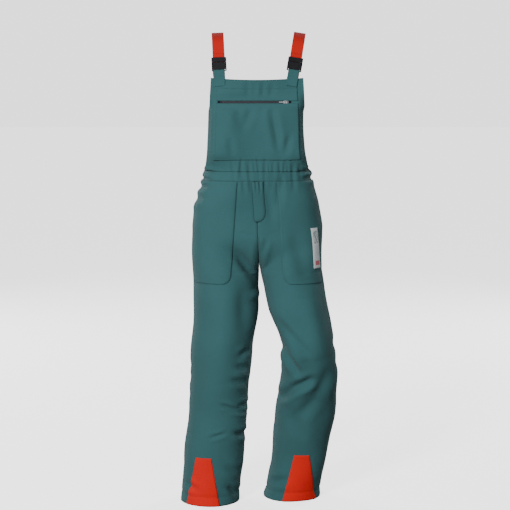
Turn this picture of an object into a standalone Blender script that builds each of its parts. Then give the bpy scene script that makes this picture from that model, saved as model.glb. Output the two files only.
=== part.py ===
"""Chainsaw-protective bib-and-brace overalls, standing as if worn, with one knee bent.

The front faces -Y, +Z is up and +X is the wearer's left. Heights are given above the lowest hem, and the
finished garment hangs under an empty that puts the world origin where the braces rest on the shoulders.
"""

import math

import bmesh
import bpy
import numpy as np
from mathutils import Matrix, Vector

# Overall heights, above the lowest hem.
CROTCH_HEIGHT = 0.745
FLY_BOTTOM_HEIGHT = 0.905
WAIST_SEAM_HEIGHT = 1.060
BIB_TOP_HEIGHT = 1.344
SHOULDER_HEIGHT = 1.4795
BACK_PANEL_TOP_HEIGHT = 1.235

# Cloth thicknesses and the clearances between layers.
CLOTH = 0.0018
LIGHT_CLOTH = 0.0012
PAD_THICKNESS = 0.006
LINING_THICKNESS = 0.001
GAP = 0.0003
LAYER_GAP = 0.0005
SEAM_GAP = 0.0012
PATCH_GAP = 0.0026

# Leg sections: height as a share of the crotch height, outer edge x, inner edge x, centre y and depth.
LEG_SECTIONS = {
    "right": (
        (0.000, -0.2435, -0.0565, 0.008, 0.190),
        (0.207, -0.2315, -0.0425, 0.004, 0.190),
        (0.451, -0.2150, -0.0270, -0.004, 0.196),
        (0.659, -0.2080, -0.0145, -0.020, 0.205),
        (0.866, -0.2005, 0.0065, -0.016, 0.226),
    ),
    "left": (
        (0.000, 0.1985, 0.0275, 0.062, 0.186),
        (0.193, 0.2245, 0.0465, 0.044, 0.186),
        (0.379, 0.2500, 0.0570, 0.014, 0.194),
        (0.529, 0.2520, 0.0740, -0.022, 0.200),
        (0.671, 0.2440, 0.0760, -0.048, 0.206),
        (0.839, 0.2250, 0.0355, -0.036, 0.218),
    ),
}
CROTCH_CENTRE_Y = -0.008
CROTCH_DEPTH = 0.240

# The hips and waist: half widths, depths ahead of and behind the side seams, and the section's squareness.
CROTCH_HALF_WIDTH = 0.203
HIP_HALF_WIDTH = 0.2015
HIP_HEIGHT = 0.850
UPPER_HIP_HALF_WIDTH = 0.1915
UPPER_HIP_HEIGHT = 0.950
WAIST_HALF_WIDTH = 0.1705
BACK_TOP_HALF_WIDTH = 0.1645
WAISTBAND_WIDTH = 0.031
FRONT_Y = -0.120
SEAT_Y = 0.140
WAIST_BACK_Y = 0.100
BACK_TOP_Y = 0.112
HIP_SIDE_Y = 0.005
WAIST_SIDE_Y = -0.005
SQUARENESS = 3.0
RISE_BLEND = 0.110
CROTCH_LIFT = 1.6
FRONT_SEAM_TOP_X = -0.0076
FRONT_SEAM_BOTTOM_X = 0.008

# The bib.
BIB_GAP_Y = 0.0037
BIB_HALF_WIDTHS = ((0.0, 0.1620), (0.09, 0.1570), (0.24, 0.1505), (0.60, 0.1470), (1.0, 0.1405))
BIB_FLAT_SHARE = 0.86
BIB_WRAP = 0.030
BIB_BLEND_HEIGHT = 0.060
BIB_FLATTEN_HEIGHT = 0.090
BIB_TOP_DIP = 0.006
BIB_HEM_WIDTH = 0.029
FACING_SHARE = 0.97
CHEST_POCKET_BOTTOM_HEIGHT = 1.094
CHEST_ZIP_HEIGHT = 1.271
BACK_PANEL_WAIST_HALF_WIDTH = 0.150
BACK_PANEL_TOP_HALF_WIDTH = 0.098
BACK_YOKE_WIDTH = 0.055

# Pads, hems, patches, pockets and the label.
HEM_WIDTH = 0.030
PAD_ABOVE_CROTCH = 0.200
PAD_NOTCH_REACH = 0.074
PAD_NOTCH_BELOW = 0.012
PAD_NOTCH_ABOVE = 0.045
HEM_PATCH_HEIGHT = 0.155
HEM_PATCH_TOP_WIDTH = 0.048
HEM_PATCH_BOTTOM_WIDTH = 0.104
HEM_PATCH_BOTTOM_X = {"right": -0.1700, "left": 0.1340}
HEM_PATCH_TOP_X = {"right": -0.1675, "left": 0.1420}
POCKET_BOTTOM_HEIGHT = 0.712
POCKET_TOP_INNER_X = 0.060
POCKET_BOTTOM_INNER_X = 0.082
POCKET_CORNER = 0.022
LABEL_FRONT_WIDTH = 0.0185
LABEL_LENGTH = 0.126
LABEL_CENTRE_HEIGHT = 0.820
LABEL_BOTTOM_INSET = 0.0180
LABEL_TOP_INSET = 0.0300
LABEL_THICKNESS = 0.0006

# Zips: chain, tapes, slider and puller.
CHEST_ZIP_LEFT_X = -0.108
CHEST_ZIP_RIGHT_X = 0.092
CHEST_ZIP_TAPE_EXTRA = 0.012
FLY_ZIP_LENGTH = 0.104
FLY_ZIP_TAPE_EXTRA = 0.006
TAPE_THICKNESS = 0.0007
TAPE_WIDTH = 0.012
CHAIN_WIDTH = 0.006
CHAIN_THICKNESS = 0.0018
TOOTH_PITCH = 0.004
SLIDER_LENGTH = 0.012
SLIDER_PLATE = 0.0016
SLIDER_FLANGE = 0.0008
SLIDER_GAP = 0.0004
ZIP_OPENING_WIDTH = CHAIN_WIDTH + 2 * (SLIDER_GAP + SLIDER_FLANGE + GAP)
LUG_PIN_RADIUS = 0.0006
FLANGE_SHARE = 0.9
LUG_HALF_GAP = 0.0018
LUG_CHEEK = 0.0008
LUG_HEIGHT = 0.0017
PULLER_LENGTH = 0.020
PULLER_WIDTH = 0.0030
PULLER_THICKNESS = 0.0010
STOP_LENGTH = 0.003
STOP_THICKNESS = 0.0024

# Braces: webbing, bib tabs and side-release buckles.
WEBBING_WIDTH = 0.0365
WEBBING_THICKNESS = 0.002
TAB_WIDTH = 0.034
TAB_THICKNESS = 0.0015
TAB_SIDE_GAP = 0.00175
TAB_LENGTH_BELOW_BUCKLE = 0.048
BUCKLE_BOTTOM_HEIGHT = 1.3660
BUCKLE_X = {"right": -0.1145, "left": 0.1115}
BUCKLE_TILT_DEG = {"right": 2.5, "left": 9.0}
BUCKLE_WIDTH = 0.045
BUCKLE_THICKNESS = 0.0125
SOCKET_HEIGHT = 0.0265
SOCKET_FLOOR = 0.0062
SOCKET_MOUTH_HALF_WIDTH = 0.0185
SOCKET_MOUTH_HALF_DEPTH = 0.0034
SOCKET_WINDOW_BOTTOM = 0.0082
SOCKET_WINDOW_TOP = 0.0190
TAB_BAR_HALF_DEPTH = 0.0026
TAB_BAR_BOTTOM = -0.0020
TAB_BAR_TOP = 0.0012
TAB_SLOT_TOP = 0.0034
PLUG_BOTTOM = SOCKET_HEIGHT + GAP / 3
PLUG_EDGE = 0.0005
PLUG_FLOOR = 0.0315
PLUG_TOP = 0.0400
PLUG_BAR_BOTTOM = 0.0355
PLUG_BAR_TOP = 0.0392
PLUG_BAR_HALF_DEPTH = 0.0011
PRONG_OUTLINE = [
    (-0.0015, -0.0002),
    (0.0015, -0.0002),
    (0.0022, -0.0062),
    (0.0052, -0.0077),
    (0.0068, -0.0137),
    (0.0058, -0.0172),
    (-0.0008, -0.0182),
]
WEBBING_TAIL_TOP = 0.0520
WEBBING_LEAD = 0.0145
GUIDE_HALF_WIDTH = 0.0035
PRONG_HINGE_X = 0.0130
PRONG_HINGE_Z = 0.0262
PRONG_HALF_THICKNESS = 0.0022
SHOULDER_FRONT_Y = -0.124
SHOULDER_BACK_Y = 0.118
BRACE_SPREAD = 0.050
BRACE_HIDDEN_DROP = 0.012

# Lattice densities.
LEG_ROWS = 13
RISE_ROWS = 4
HIP_ROWS = 3
FRONT_COLUMNS = 8
BACK_COLUMNS = 6

SIDES = {"right": -1.0, "left": 1.0}
BIB_Y = FRONT_Y - BIB_GAP_Y
BAND_BOTTOM_HEIGHT = WAIST_SEAM_HEIGHT - WAISTBAND_WIDTH

# Surface looks: base colour, roughness and metallic.
LOOKS = {
    "teal_cloth": ((0.040, 0.130, 0.130), 0.90, 0.0),
    "lining_cloth": ((0.060, 0.080, 0.085), 0.95, 0.0),
    "saw_pad": ((0.700, 0.680, 0.600), 0.95, 0.0),
    "signal_cloth": ((0.800, 0.020, 0.012), 0.80, 0.0),
    "webbing": ((0.700, 0.020, 0.010), 0.75, 0.0),
    "buckle_plastic": ((0.012, 0.012, 0.014), 0.42, 0.0),
    "zip_tape": ((0.010, 0.014, 0.030), 0.85, 0.0),
    "zip_metal": ((0.550, 0.550, 0.560), 0.32, 1.0),
    "elastic": ((0.500, 0.500, 0.480), 0.90, 0.0),
    "label_print": ((0.780, 0.790, 0.800), 0.60, 0.0),
}


def clear_scene():
    """Remove every object of the scene."""
    for obj in list(bpy.data.objects):
        bpy.data.objects.remove(obj, do_unlink=True)


def make_collection(name):
    """Return a new collection under the scene's own."""
    collection = bpy.data.collections.new(name)
    bpy.context.scene.collection.children.link(collection)
    return collection


def make_material(name):
    """Return the Principled material with this look, made once."""
    found = bpy.data.materials.get(name)
    if found:
        return found
    colour, roughness, metallic = LOOKS[name]
    material = bpy.data.materials.new(name)
    material.use_nodes = True
    shader = material.node_tree.nodes["Principled BSDF"]
    shader.inputs["Base Color"].default_value = (*colour, 1.0)
    shader.inputs["Roughness"].default_value = roughness
    shader.inputs["Metallic"].default_value = metallic
    material.diffuse_color = (*colour, 1.0)
    return material


def add_object(name, data, look, collection, parent):
    """Link a mesh or curve as a named object with its look, under its parent."""
    obj = bpy.data.objects.new(name, data)
    data.materials.append(make_material(look))
    collection.objects.link(obj)
    obj.parent = parent
    return obj


def add_empty(name, collection, parent, matrix=None):
    """Return an empty that places what is parented to it."""
    empty = bpy.data.objects.new(name, None)
    empty.empty_display_size = 0.02
    collection.objects.link(empty)
    empty.parent = parent
    if matrix is not None:
        empty.matrix_basis = matrix
    return empty


def monotone_curve(points, at):
    """Return a smooth value through (position, value) points that never overshoots them."""
    x = np.array([p[0] for p in points], float)
    y = np.array([p[1] for p in points], float)
    step = np.diff(x)
    slope = np.diff(y) / step
    tangent = np.zeros(len(x))
    tangent[0] = slope[0]
    tangent[-1] = slope[-1]
    for i in range(1, len(x) - 1):
        if slope[i - 1] * slope[i] > 0:
            w0 = 2 * step[i] + step[i - 1]
            w1 = step[i] + 2 * step[i - 1]
            tangent[i] = (w0 + w1) / (w0 / slope[i - 1] + w1 / slope[i])
    at = min(max(at, x[0]), x[-1])
    i = min(int(np.searchsorted(x, at, side="right")) - 1, len(step) - 1)
    t = (at - x[i]) / step[i]
    near = (1 + 2 * t) * (1 - t) ** 2 * y[i] + t * (1 - t) ** 2 * step[i] * tangent[i]
    far = t * t * (3 - 2 * t) * y[i + 1] + t * t * (t - 1) * step[i] * tangent[i + 1]
    return float(near + far)


def smooth(t):
    """Return the smoothstep of t, held between 0 and 1."""
    t = min(max(t, 0.0), 1.0)
    return t * t * (3 - 2 * t)


def front_seam_x(z):
    """Return where the centre seam runs at this height: straight along the fly, then down to the crotch."""
    drop = (BAND_BOTTOM_HEIGHT - z) / (BAND_BOTTOM_HEIGHT - CROTCH_HEIGHT)
    if z < FLY_BOTTOM_HEIGHT:
        fly_share = (BAND_BOTTOM_HEIGHT - FLY_BOTTOM_HEIGHT) / (BAND_BOTTOM_HEIGHT - CROTCH_HEIGHT)
        fly_share += (drop - fly_share) * 0.6
        return FRONT_SEAM_TOP_X + (FRONT_SEAM_BOTTOM_X - FRONT_SEAM_TOP_X) * min(fly_share * 1.26, 1.0)
    return FRONT_SEAM_TOP_X + (FRONT_SEAM_BOTTOM_X - FRONT_SEAM_TOP_X) * min(max(drop, 0.0) * 1.26, 1.0)


def leg_value(side, index, z):
    """Return a leg section's value at this height, up to the crotch's own."""
    outer_x = SIDES[side] * CROTCH_HALF_WIDTH
    last = {1: outer_x, 2: front_seam_x(CROTCH_HEIGHT), 3: CROTCH_CENTRE_Y, 4: CROTCH_DEPTH}
    points = [(row[0] * CROTCH_HEIGHT, row[index]) for row in LEG_SECTIONS[side]]
    return monotone_curve([*points, (CROTCH_HEIGHT, last[index])], min(z, CROTCH_HEIGHT))


def torso_outline(z):
    """Return the half width, side seam y, front y and back y of the torso at this height."""
    half = monotone_curve(
        [
            (CROTCH_HEIGHT, CROTCH_HALF_WIDTH),
            (HIP_HEIGHT, HIP_HALF_WIDTH),
            (UPPER_HIP_HEIGHT, UPPER_HIP_HALF_WIDTH),
            (BAND_BOTTOM_HEIGHT, WAIST_HALF_WIDTH),
            (BACK_PANEL_TOP_HEIGHT, BACK_TOP_HALF_WIDTH),
        ],
        z,
    )
    side_y = monotone_curve([(HIP_HEIGHT, HIP_SIDE_Y), (BAND_BOTTOM_HEIGHT, WAIST_SIDE_Y)], z)
    back_y = monotone_curve(
        [
            (CROTCH_HEIGHT, SEAT_Y),
            (HIP_HEIGHT, SEAT_Y),
            (BAND_BOTTOM_HEIGHT, WAIST_BACK_Y),
            (BACK_PANEL_TOP_HEIGHT, BACK_TOP_Y),
        ],
        z,
    )
    return half, side_y, FRONT_Y, back_y


def body_point(side, face, u, z, inset=0.0):
    """Return the cloth's outer point: u runs from the side seam (0) round to the centre or inseam (1).

    An inset moves it inward, to where an inner layer's outer face lies.
    """
    sign = SIDES[side]
    seam = front_seam_x(z) + sign * inset
    outer = leg_value(side, 1, z) - sign * inset
    inner = leg_value(side, 2, z) + sign * inset if z < CROTCH_HEIGHT else seam
    centre_y = leg_value(side, 3, z)
    depth = leg_value(side, 4, z) - 2 * inset
    turn = math.pi * u
    leg_x = (outer + inner) / 2 + (outer - inner) / 2 * math.cos(turn)
    leg_y = centre_y + face * depth / 2 * math.sin(turn) ** 0.9
    if z <= CROTCH_HEIGHT:
        return leg_x, leg_y
    half, side_y, front_y, back_y = torso_outline(z)
    quarter = math.pi / 2 * u
    reach = (sign * (half - inset) - seam) * max(math.cos(quarter), 0.0) ** (2 / SQUARENESS)
    far_y = (front_y if face < 0 else back_y) - face * inset
    torso_y = side_y + (far_y - side_y) * math.sin(quarter) ** (2 / SQUARENESS)
    share = min((z - CROTCH_HEIGHT) / RISE_BLEND, 1.0)
    weight = smooth(share) + (math.sqrt(1 - (1 - share) ** 2) - smooth(share)) * u**3
    return (1 - weight) * leg_x + weight * (seam + reach), (1 - weight) * leg_y + weight * torso_y


def leg_heights():
    """Return the lattice's heights, closer together where the legs join."""
    legs = [CROTCH_HEIGHT * i / LEG_ROWS for i in range(LEG_ROWS)]
    legs.insert(1, HEM_WIDTH)
    rise = [CROTCH_HEIGHT + RISE_BLEND * (i / RISE_ROWS) ** 1.5 for i in range(RISE_ROWS)]
    hips_from = CROTCH_HEIGHT + RISE_BLEND
    hips = [hips_from, FLY_BOTTOM_HEIGHT]
    hips += [
        FLY_BOTTOM_HEIGHT + (BAND_BOTTOM_HEIGHT - GAP - FLY_BOTTOM_HEIGHT) * i / HIP_ROWS
        for i in range(1, HIP_ROWS + 1)
    ]
    return legs + rise + hips


def leg_lattice(side, inset=0.0):
    """Return rows of points from the front centre round the side seam to the back centre.

    An inner layer also lies higher where the legs join, because the cloth there faces down.
    """
    rows = []
    for z in leg_heights():
        level = z + CROTCH_LIFT * inset * (1 - smooth(abs(z - CROTCH_HEIGHT) / RISE_BLEND))
        front_shares = [1 - i / FRONT_COLUMNS for i in range(FRONT_COLUMNS)]
        back_shares = [i / BACK_COLUMNS for i in range(BACK_COLUMNS + 1)]
        front = [(*body_point(side, -1.0, u, z, inset), level) for u in front_shares]
        back = [(*body_point(side, 1.0, u, z, inset), level) for u in back_shares]
        rows.append(front + back)
    return np.array(rows)


def lattice_normals(points, outward_sign):
    """Return unit normals of a lattice, facing outward for the given order of its columns."""
    along = np.gradient(points, axis=0)
    across = np.gradient(points, axis=1)
    normal = np.cross(across, along) * outward_sign
    return normal / np.maximum(np.linalg.norm(normal, axis=2, keepdims=True), 1e-9)


def pull_in_edge(points, edge, distance):
    """Move a lattice's first (0) or last (-1) column towards its neighbour by a distance."""
    neighbour = 1 if edge == 0 else -2
    reach = points[:, neighbour] - points[:, edge]
    length = np.linalg.norm(reach, axis=1, keepdims=True)
    points[:, edge] += reach / length * np.reshape(distance, (-1, 1))


def lattice_mesh(name, points, flip):
    """Return an open mesh over a lattice of points, each cell cut along the same diagonal in every layer."""
    rows, columns = points.shape[:2]
    mesh = bmesh.new()
    verts = [[mesh.verts.new(points[r, c]) for c in range(columns)] for r in range(rows)]
    for r in range(rows - 1):
        for c in range(columns - 1):
            near, far = (verts[r][c], verts[r][c + 1]), (verts[r + 1][c], verts[r + 1][c + 1])
            for ring in ((near[0], near[1], far[1]), (near[0], far[1], far[0])):
                mesh.faces.new(ring[::-1] if flip else ring)
    data = bpy.data.meshes.new(name)
    for face in mesh.faces:
        face.smooth = True
    mesh.to_mesh(data)
    mesh.free()
    return data


def add_shell(name, points, thickness, look, collection, parent, flip=False, offset=-1.0):
    """Add a cloth shell: the lattice is its outer face and Solidify gives its thickness inward."""
    obj = add_object(name, lattice_mesh(name, points, flip), look, collection, parent)
    solidify = obj.modifiers.new("Cloth", "SOLIDIFY")
    solidify.thickness = thickness
    solidify.offset = offset
    solidify.use_even_offset = True
    return obj


def add_layer(name, outer, inner, look, collection, parent):
    """Add a layer lofted between two nested lattices, where one even thickness would fold over itself."""
    rows, columns = outer.shape[:2]
    mesh = bmesh.new()
    grids = []
    for grid in (outer, inner):
        grids.append([[mesh.verts.new(grid[r, c]) for c in range(columns)] for r in range(rows)])
    for grid in grids:
        for r in range(rows - 1):
            for c in range(columns - 1):
                mesh.faces.new([grid[r][c], grid[r][c + 1], grid[r + 1][c + 1]])
                mesh.faces.new([grid[r][c], grid[r + 1][c + 1], grid[r + 1][c]])
    around = [(0, c) for c in range(columns)] + [(r, columns - 1) for r in range(1, rows)]
    around += [(rows - 1, c) for c in range(columns - 2, -1, -1)] + [(r, 0) for r in range(rows - 2, 0, -1)]
    for (r0, c0), (r1, c1) in zip(around, around[1:] + around[:1], strict=True):
        mesh.faces.new([grids[0][r0][c0], grids[0][r1][c1], grids[1][r1][c1], grids[1][r0][c0]])
    bmesh.ops.recalc_face_normals(mesh, faces=mesh.faces)
    return add_object(name, to_data(name, mesh), look, collection, parent)


def box_mesh(size, centre, bevel=0.0):
    """Return a bmesh box with its size and centre, its edges bevelled."""
    mesh = bmesh.new()
    bmesh.ops.create_cube(mesh, size=1.0)
    bmesh.ops.scale(mesh, vec=size, verts=mesh.verts)
    bmesh.ops.translate(mesh, vec=centre, verts=mesh.verts)
    if bevel:
        bmesh.ops.bevel(mesh, geom=list(mesh.edges), offset=bevel, affect="EDGES", segments=1, profile=0.5)
    return mesh


def box_between(low, high, bevel=0.0):
    """Return a bmesh box between two corners."""
    low = Vector(low)
    high = Vector(high)
    return box_mesh(high - low, (low + high) / 2, bevel)


def to_data(name, mesh):
    """Turn a bmesh into mesh data and free it."""
    data = bpy.data.meshes.new(name)
    mesh.to_mesh(data)
    mesh.free()
    return data


def add_cutter(name, mesh, cutters, parent):
    """Add a hidden tool body for a Boolean."""
    obj = bpy.data.objects.new(name, to_data(name, mesh))
    cutters.objects.link(obj)
    obj.parent = parent
    obj.hide_render = True
    obj.display_type = "WIRE"
    return obj


def add_boolean(obj, tool, operation):
    """Join or cut a body with a tool body."""
    modifier = obj.modifiers.new(tool.name, "BOOLEAN")
    modifier.operation = operation
    modifier.solver = "EXACT"
    modifier.object = tool


def outline_data(name, outline, half_thickness):
    """Return mesh data of a flat outline in XZ, extruded both ways along Y."""
    curve = bpy.data.curves.new(name, "CURVE")
    curve.dimensions = "2D"
    curve.fill_mode = "BOTH"
    curve.extrude = half_thickness
    spline = curve.splines.new("POLY")
    spline.points.add(len(outline) - 1)
    for point, (x, z) in zip(spline.points, outline, strict=True):
        point.co = (x, z, 0.0, 1.0)
    spline.use_cyclic_u = True
    scratch = bpy.data.objects.new(name + "_outline", curve)
    bpy.context.scene.collection.objects.link(scratch)
    graph = bpy.context.evaluated_depsgraph_get()
    data = bpy.data.meshes.new_from_object(scratch.evaluated_get(graph))
    data.name = name
    bpy.data.objects.remove(scratch)
    bpy.data.curves.remove(curve)
    mesh = bmesh.new()
    mesh.from_mesh(data)
    bmesh.ops.remove_doubles(mesh, verts=mesh.verts, dist=1e-6)
    bmesh.ops.rotate(mesh, verts=mesh.verts, cent=(0, 0, 0), matrix=Matrix.Rotation(math.pi / 2, 3, "X"))
    bmesh.ops.recalc_face_normals(mesh, faces=mesh.faces)
    mesh.to_mesh(data)
    mesh.free()
    return data


def cylinder_mesh(radius, length, centre, axis, segments=16):
    """Return a bmesh cylinder along the X, Y or Z axis."""
    mesh = bmesh.new()
    sizes = {"radius1": radius, "radius2": radius, "depth": length}
    bmesh.ops.create_cone(mesh, cap_ends=True, segments=segments, **sizes)
    turns = {"X": Matrix.Rotation(math.pi / 2, 3, "Y"), "Y": Matrix.Rotation(math.pi / 2, 3, "X")}
    if axis in turns:
        bmesh.ops.rotate(mesh, verts=mesh.verts, cent=(0, 0, 0), matrix=turns[axis])
    bmesh.ops.translate(mesh, verts=mesh.verts, vec=centre)
    return mesh


def add_legs(garment, cutters, parent):
    """Add the leg panels, pads, linings, hem bands, hem patches and hip pockets."""
    heights = np.array(leg_heights())
    for side, sign in SIDES.items():
        flip = sign < 0
        add_leg_panels(side, heights, garment, parent)
        add_leg_insides(side, heights, flip, garment, cutters, parent)
        add_leg_patches(side, garment, parent)


def add_leg_panels(side, heights, garment, parent):
    """Add one leg's front and back panels; the front is open along the fly."""
    fly_half = ZIP_OPENING_WIDTH / 2 + CHAIN_WIDTH / 2
    seam_half = np.full(len(heights), SEAM_GAP / 2)
    centre_gap = np.where(heights >= FLY_BOTTOM_HEIGHT - GAP, fly_half, SEAM_GAP / 2)
    fronts = []
    backs = []
    for depth in (0.0, CLOTH):
        lattice = leg_lattice(side, depth)
        fronts.append(lattice[:, : FRONT_COLUMNS + 1].copy())
        backs.append(lattice[:, FRONT_COLUMNS:].copy())
        pull_in_edge(fronts[-1], 0, centre_gap)
        pull_in_edge(fronts[-1], -1, seam_half)
        pull_in_edge(backs[-1], 0, seam_half)
        pull_in_edge(backs[-1], -1, seam_half)
    add_layer(f"{side}_leg_front", *fronts, "teal_cloth", garment, parent)
    add_layer(f"{side}_leg_back", *backs, "teal_cloth", garment, parent)


def add_leg_insides(side, heights, flip, garment, cutters, parent):
    """Add one leg's turned hem, saw-protection pad and lining, each inset from the panels."""
    hem_depth = CLOTH + LAYER_GAP
    hem = leg_lattice(side, hem_depth)[heights <= HEM_WIDTH + GAP]
    hem[0, :, 2] += GAP
    hem[-1, :, 2] -= GAP
    pull_in_edge(hem, 0, np.full(len(hem), SEAM_GAP))
    pull_in_edge(hem, -1, np.full(len(hem), SEAM_GAP))
    add_shell(f"{side}_hem_band", hem, LIGHT_CLOTH, "teal_cloth", garment, parent, flip)

    pad_rows = (heights >= HEM_WIDTH - GAP) & (heights <= CROTCH_HEIGHT + PAD_ABOVE_CROTCH)
    pad_faces = []
    for depth in (hem_depth + LAYER_GAP, hem_depth + LAYER_GAP + PAD_THICKNESS):
        pad_faces.append(leg_lattice(side, depth)[pad_rows][:, 1:FRONT_COLUMNS])
        pad_faces[-1][0, :, 2] += LAYER_GAP
    pad = add_layer(f"{side}_saw_pad", *pad_faces, "saw_pad", garment, parent)
    low = (-PAD_NOTCH_REACH, -PAD_NOTCH_REACH * 2, CROTCH_HEIGHT - PAD_NOTCH_BELOW)
    high = (PAD_NOTCH_REACH, PAD_NOTCH_REACH * 2, CROTCH_HEIGHT + PAD_NOTCH_ABOVE)
    add_boolean(pad, add_cutter(f"{side}_pad_notch", box_between(low, high), cutters, parent), "DIFFERENCE")

    lining_depth = hem_depth + LAYER_GAP + PAD_THICKNESS + PATCH_GAP
    lining_rows = (heights >= HEM_WIDTH - GAP) & (heights < CROTCH_HEIGHT)
    linings = []
    for depth in (lining_depth, lining_depth + LINING_THICKNESS):
        lining = leg_lattice(side, depth)[lining_rows]
        lining[0, :, 2] += LAYER_GAP
        pull_in_edge(lining, 0, np.full(len(lining), SEAM_GAP))
        pull_in_edge(lining, -1, np.full(len(lining), SEAM_GAP))
        linings.append(lining)
    add_layer(f"{side}_leg_lining", *linings, "lining_cloth", garment, parent)


def surface_patch(side, face, rows, outward):
    """Return a lattice over the body: rows of (height, list of u), moved outward by a distance."""
    points = np.array([[(*body_point(side, face, u, z), z) for u in columns] for z, columns in rows])
    turn = SIDES[side] * face
    normals = lattice_normals(points, turn)
    return points + normals * outward


def u_at_x(side, x, z):
    """Return the front column u whose point has this x, by bisection."""
    low, high = 0.0, 1.0
    sign = SIDES[side]
    for _ in range(40):
        middle = (low + high) / 2
        if body_point(side, -1.0, middle, z)[0] * sign > x * sign:
            low = middle
        else:
            high = middle
    return (low + high) / 2


def add_leg_patches(side, garment, parent):
    """Add one leg's hip pocket and signal-colour hem patch on the outside of the front panel."""
    sign = SIDES[side]
    flip = sign > 0
    corner_z = POCKET_BOTTOM_HEIGHT + POCKET_CORNER
    top_z = BAND_BOTTOM_HEIGHT - GAP
    heights = [POCKET_BOTTOM_HEIGHT, corner_z, *[z for z in leg_heights() if corner_z < z < top_z], top_z]
    rows = []
    for z in heights:
        share = (z - POCKET_BOTTOM_HEIGHT) / (BAND_BOTTOM_HEIGHT - POCKET_BOTTOM_HEIGHT)
        inner_x = POCKET_BOTTOM_INNER_X + (POCKET_TOP_INNER_X - POCKET_BOTTOM_INNER_X) * share
        if z == POCKET_BOTTOM_HEIGHT:
            inner_x += POCKET_CORNER
        inner_u = u_at_x(side, sign * inner_x, z)
        outer_u = 0.02
        rows.append((z, [outer_u + (inner_u - outer_u) * i / 10 for i in range(11)]))
    outward = PATCH_GAP + LIGHT_CLOTH
    pocket = surface_patch(side, -1.0, rows, outward)
    add_shell(f"{side}_hip_pocket", pocket, LIGHT_CLOTH, "teal_cloth", garment, parent, flip)

    rows = []
    for i in range(4):
        share = i / 3
        z = GAP + (HEM_PATCH_HEIGHT - GAP) * share
        width = HEM_PATCH_BOTTOM_WIDTH + (HEM_PATCH_TOP_WIDTH - HEM_PATCH_BOTTOM_WIDTH) * share
        centre_x = HEM_PATCH_BOTTOM_X[side] + (HEM_PATCH_TOP_X[side] - HEM_PATCH_BOTTOM_X[side]) * share
        edges = [u_at_x(side, centre_x + sign * width / 2, z), u_at_x(side, centre_x - sign * width / 2, z)]
        rows.append((z, [edges[0] + (edges[1] - edges[0]) * k / 6 for k in range(7)]))
    patch = surface_patch(side, -1.0, rows, outward)
    add_shell(f"{side}_hem_patch", patch, LIGHT_CLOTH, "signal_cloth", garment, parent, flip)


def add_label(garment, parent):
    """Add the narrow printed label on the outside of the left hip pocket."""
    rows = []
    for i in range(5):
        z = LABEL_CENTRE_HEIGHT + LABEL_LENGTH * (i / 4 - 0.5)
        inset = LABEL_BOTTOM_INSET + (LABEL_TOP_INSET - LABEL_BOTTOM_INSET) * i / 4
        middle_x = HIP_HALF_WIDTH - inset
        outer = u_at_x("left", middle_x + LABEL_FRONT_WIDTH / 2, z)
        inner = u_at_x("left", middle_x - LABEL_FRONT_WIDTH / 2, z)
        rows.append((z, [outer, (outer + inner) / 2, inner]))
    outward = PATCH_GAP + LIGHT_CLOTH + PATCH_GAP + LABEL_THICKNESS
    label = surface_patch("left", -1.0, rows, outward)
    add_shell("thigh_label", label, LABEL_THICKNESS, "label_print", garment, parent, True)


def torso_row(face, z):
    """Return points round the front or back of the torso, from the right side seam to the left."""
    columns = FRONT_COLUMNS if face < 0 else BACK_COLUMNS
    right = [(*body_point("right", face, i / columns, z), z) for i in range(columns)]
    left = [(*body_point("left", face, 1 - i / columns, z), z) for i in range(columns + 1)]
    return right + left


def add_waistband(garment, parent):
    """Add the front and back waistbands and the elastic inside the back one."""
    for name, face in (("waistband_front", -1.0), ("waistband_back", 1.0)):
        band = np.array([torso_row(face, z) for z in (BAND_BOTTOM_HEIGHT, WAIST_SEAM_HEIGHT)])
        for edge in (0, -1):
            pull_in_edge(band, edge, np.full(2, SEAM_GAP / 2))
        add_shell(name, band, CLOTH, "teal_cloth", garment, parent, face > 0)
    heights = (BAND_BOTTOM_HEIGHT + LAYER_GAP, WAIST_SEAM_HEIGHT - LAYER_GAP)
    band = np.array([torso_row(1.0, z) for z in heights])
    band -= lattice_normals(band, -1.0) * (CLOTH + LAYER_GAP)
    for edge in (0, -1):
        pull_in_edge(band, edge, np.full(2, SEAM_GAP * 2))
    add_shell("waist_elastic", band, LIGHT_CLOTH, "elastic", garment, parent, True)


def bib_half_width(z):
    """Return the bib's half width at this height."""
    return monotone_curve(BIB_HALF_WIDTHS, (z - WAIST_SEAM_HEIGHT) / (BIB_TOP_HEIGHT - WAIST_SEAM_HEIGHT))


def bib_point(across, z):
    """Return the bib's outer point: across runs from -1 at its right edge to 1 at its left edge."""
    x = across * bib_half_width(z)
    edge_share = max(abs(across) - BIB_FLAT_SHARE, 0.0) / (1 - BIB_FLAT_SHARE)
    flattening = smooth((z - BIB_TOP_HEIGHT + BIB_HEM_WIDTH + BIB_FLATTEN_HEIGHT) / BIB_FLATTEN_HEIGHT)
    flat_y = BIB_Y + BIB_WRAP * (1 - flattening) * edge_share**1.5
    reach = min(abs(x) / WAIST_HALF_WIDTH, 1.0)
    waist_y = WAIST_SIDE_Y + (FRONT_Y - WAIST_SIDE_Y) * (1 - reach**SQUARENESS) ** (1 / SQUARENESS)
    weight = smooth((z - WAIST_SEAM_HEIGHT) / BIB_BLEND_HEIGHT)
    rise = smooth((z - CHEST_ZIP_HEIGHT) / (BIB_TOP_HEIGHT - CHEST_ZIP_HEIGHT))
    dip = BIB_TOP_DIP * (1 - across * across) * rise
    return x, waist_y + (flat_y - waist_y) * weight, z - dip


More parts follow.
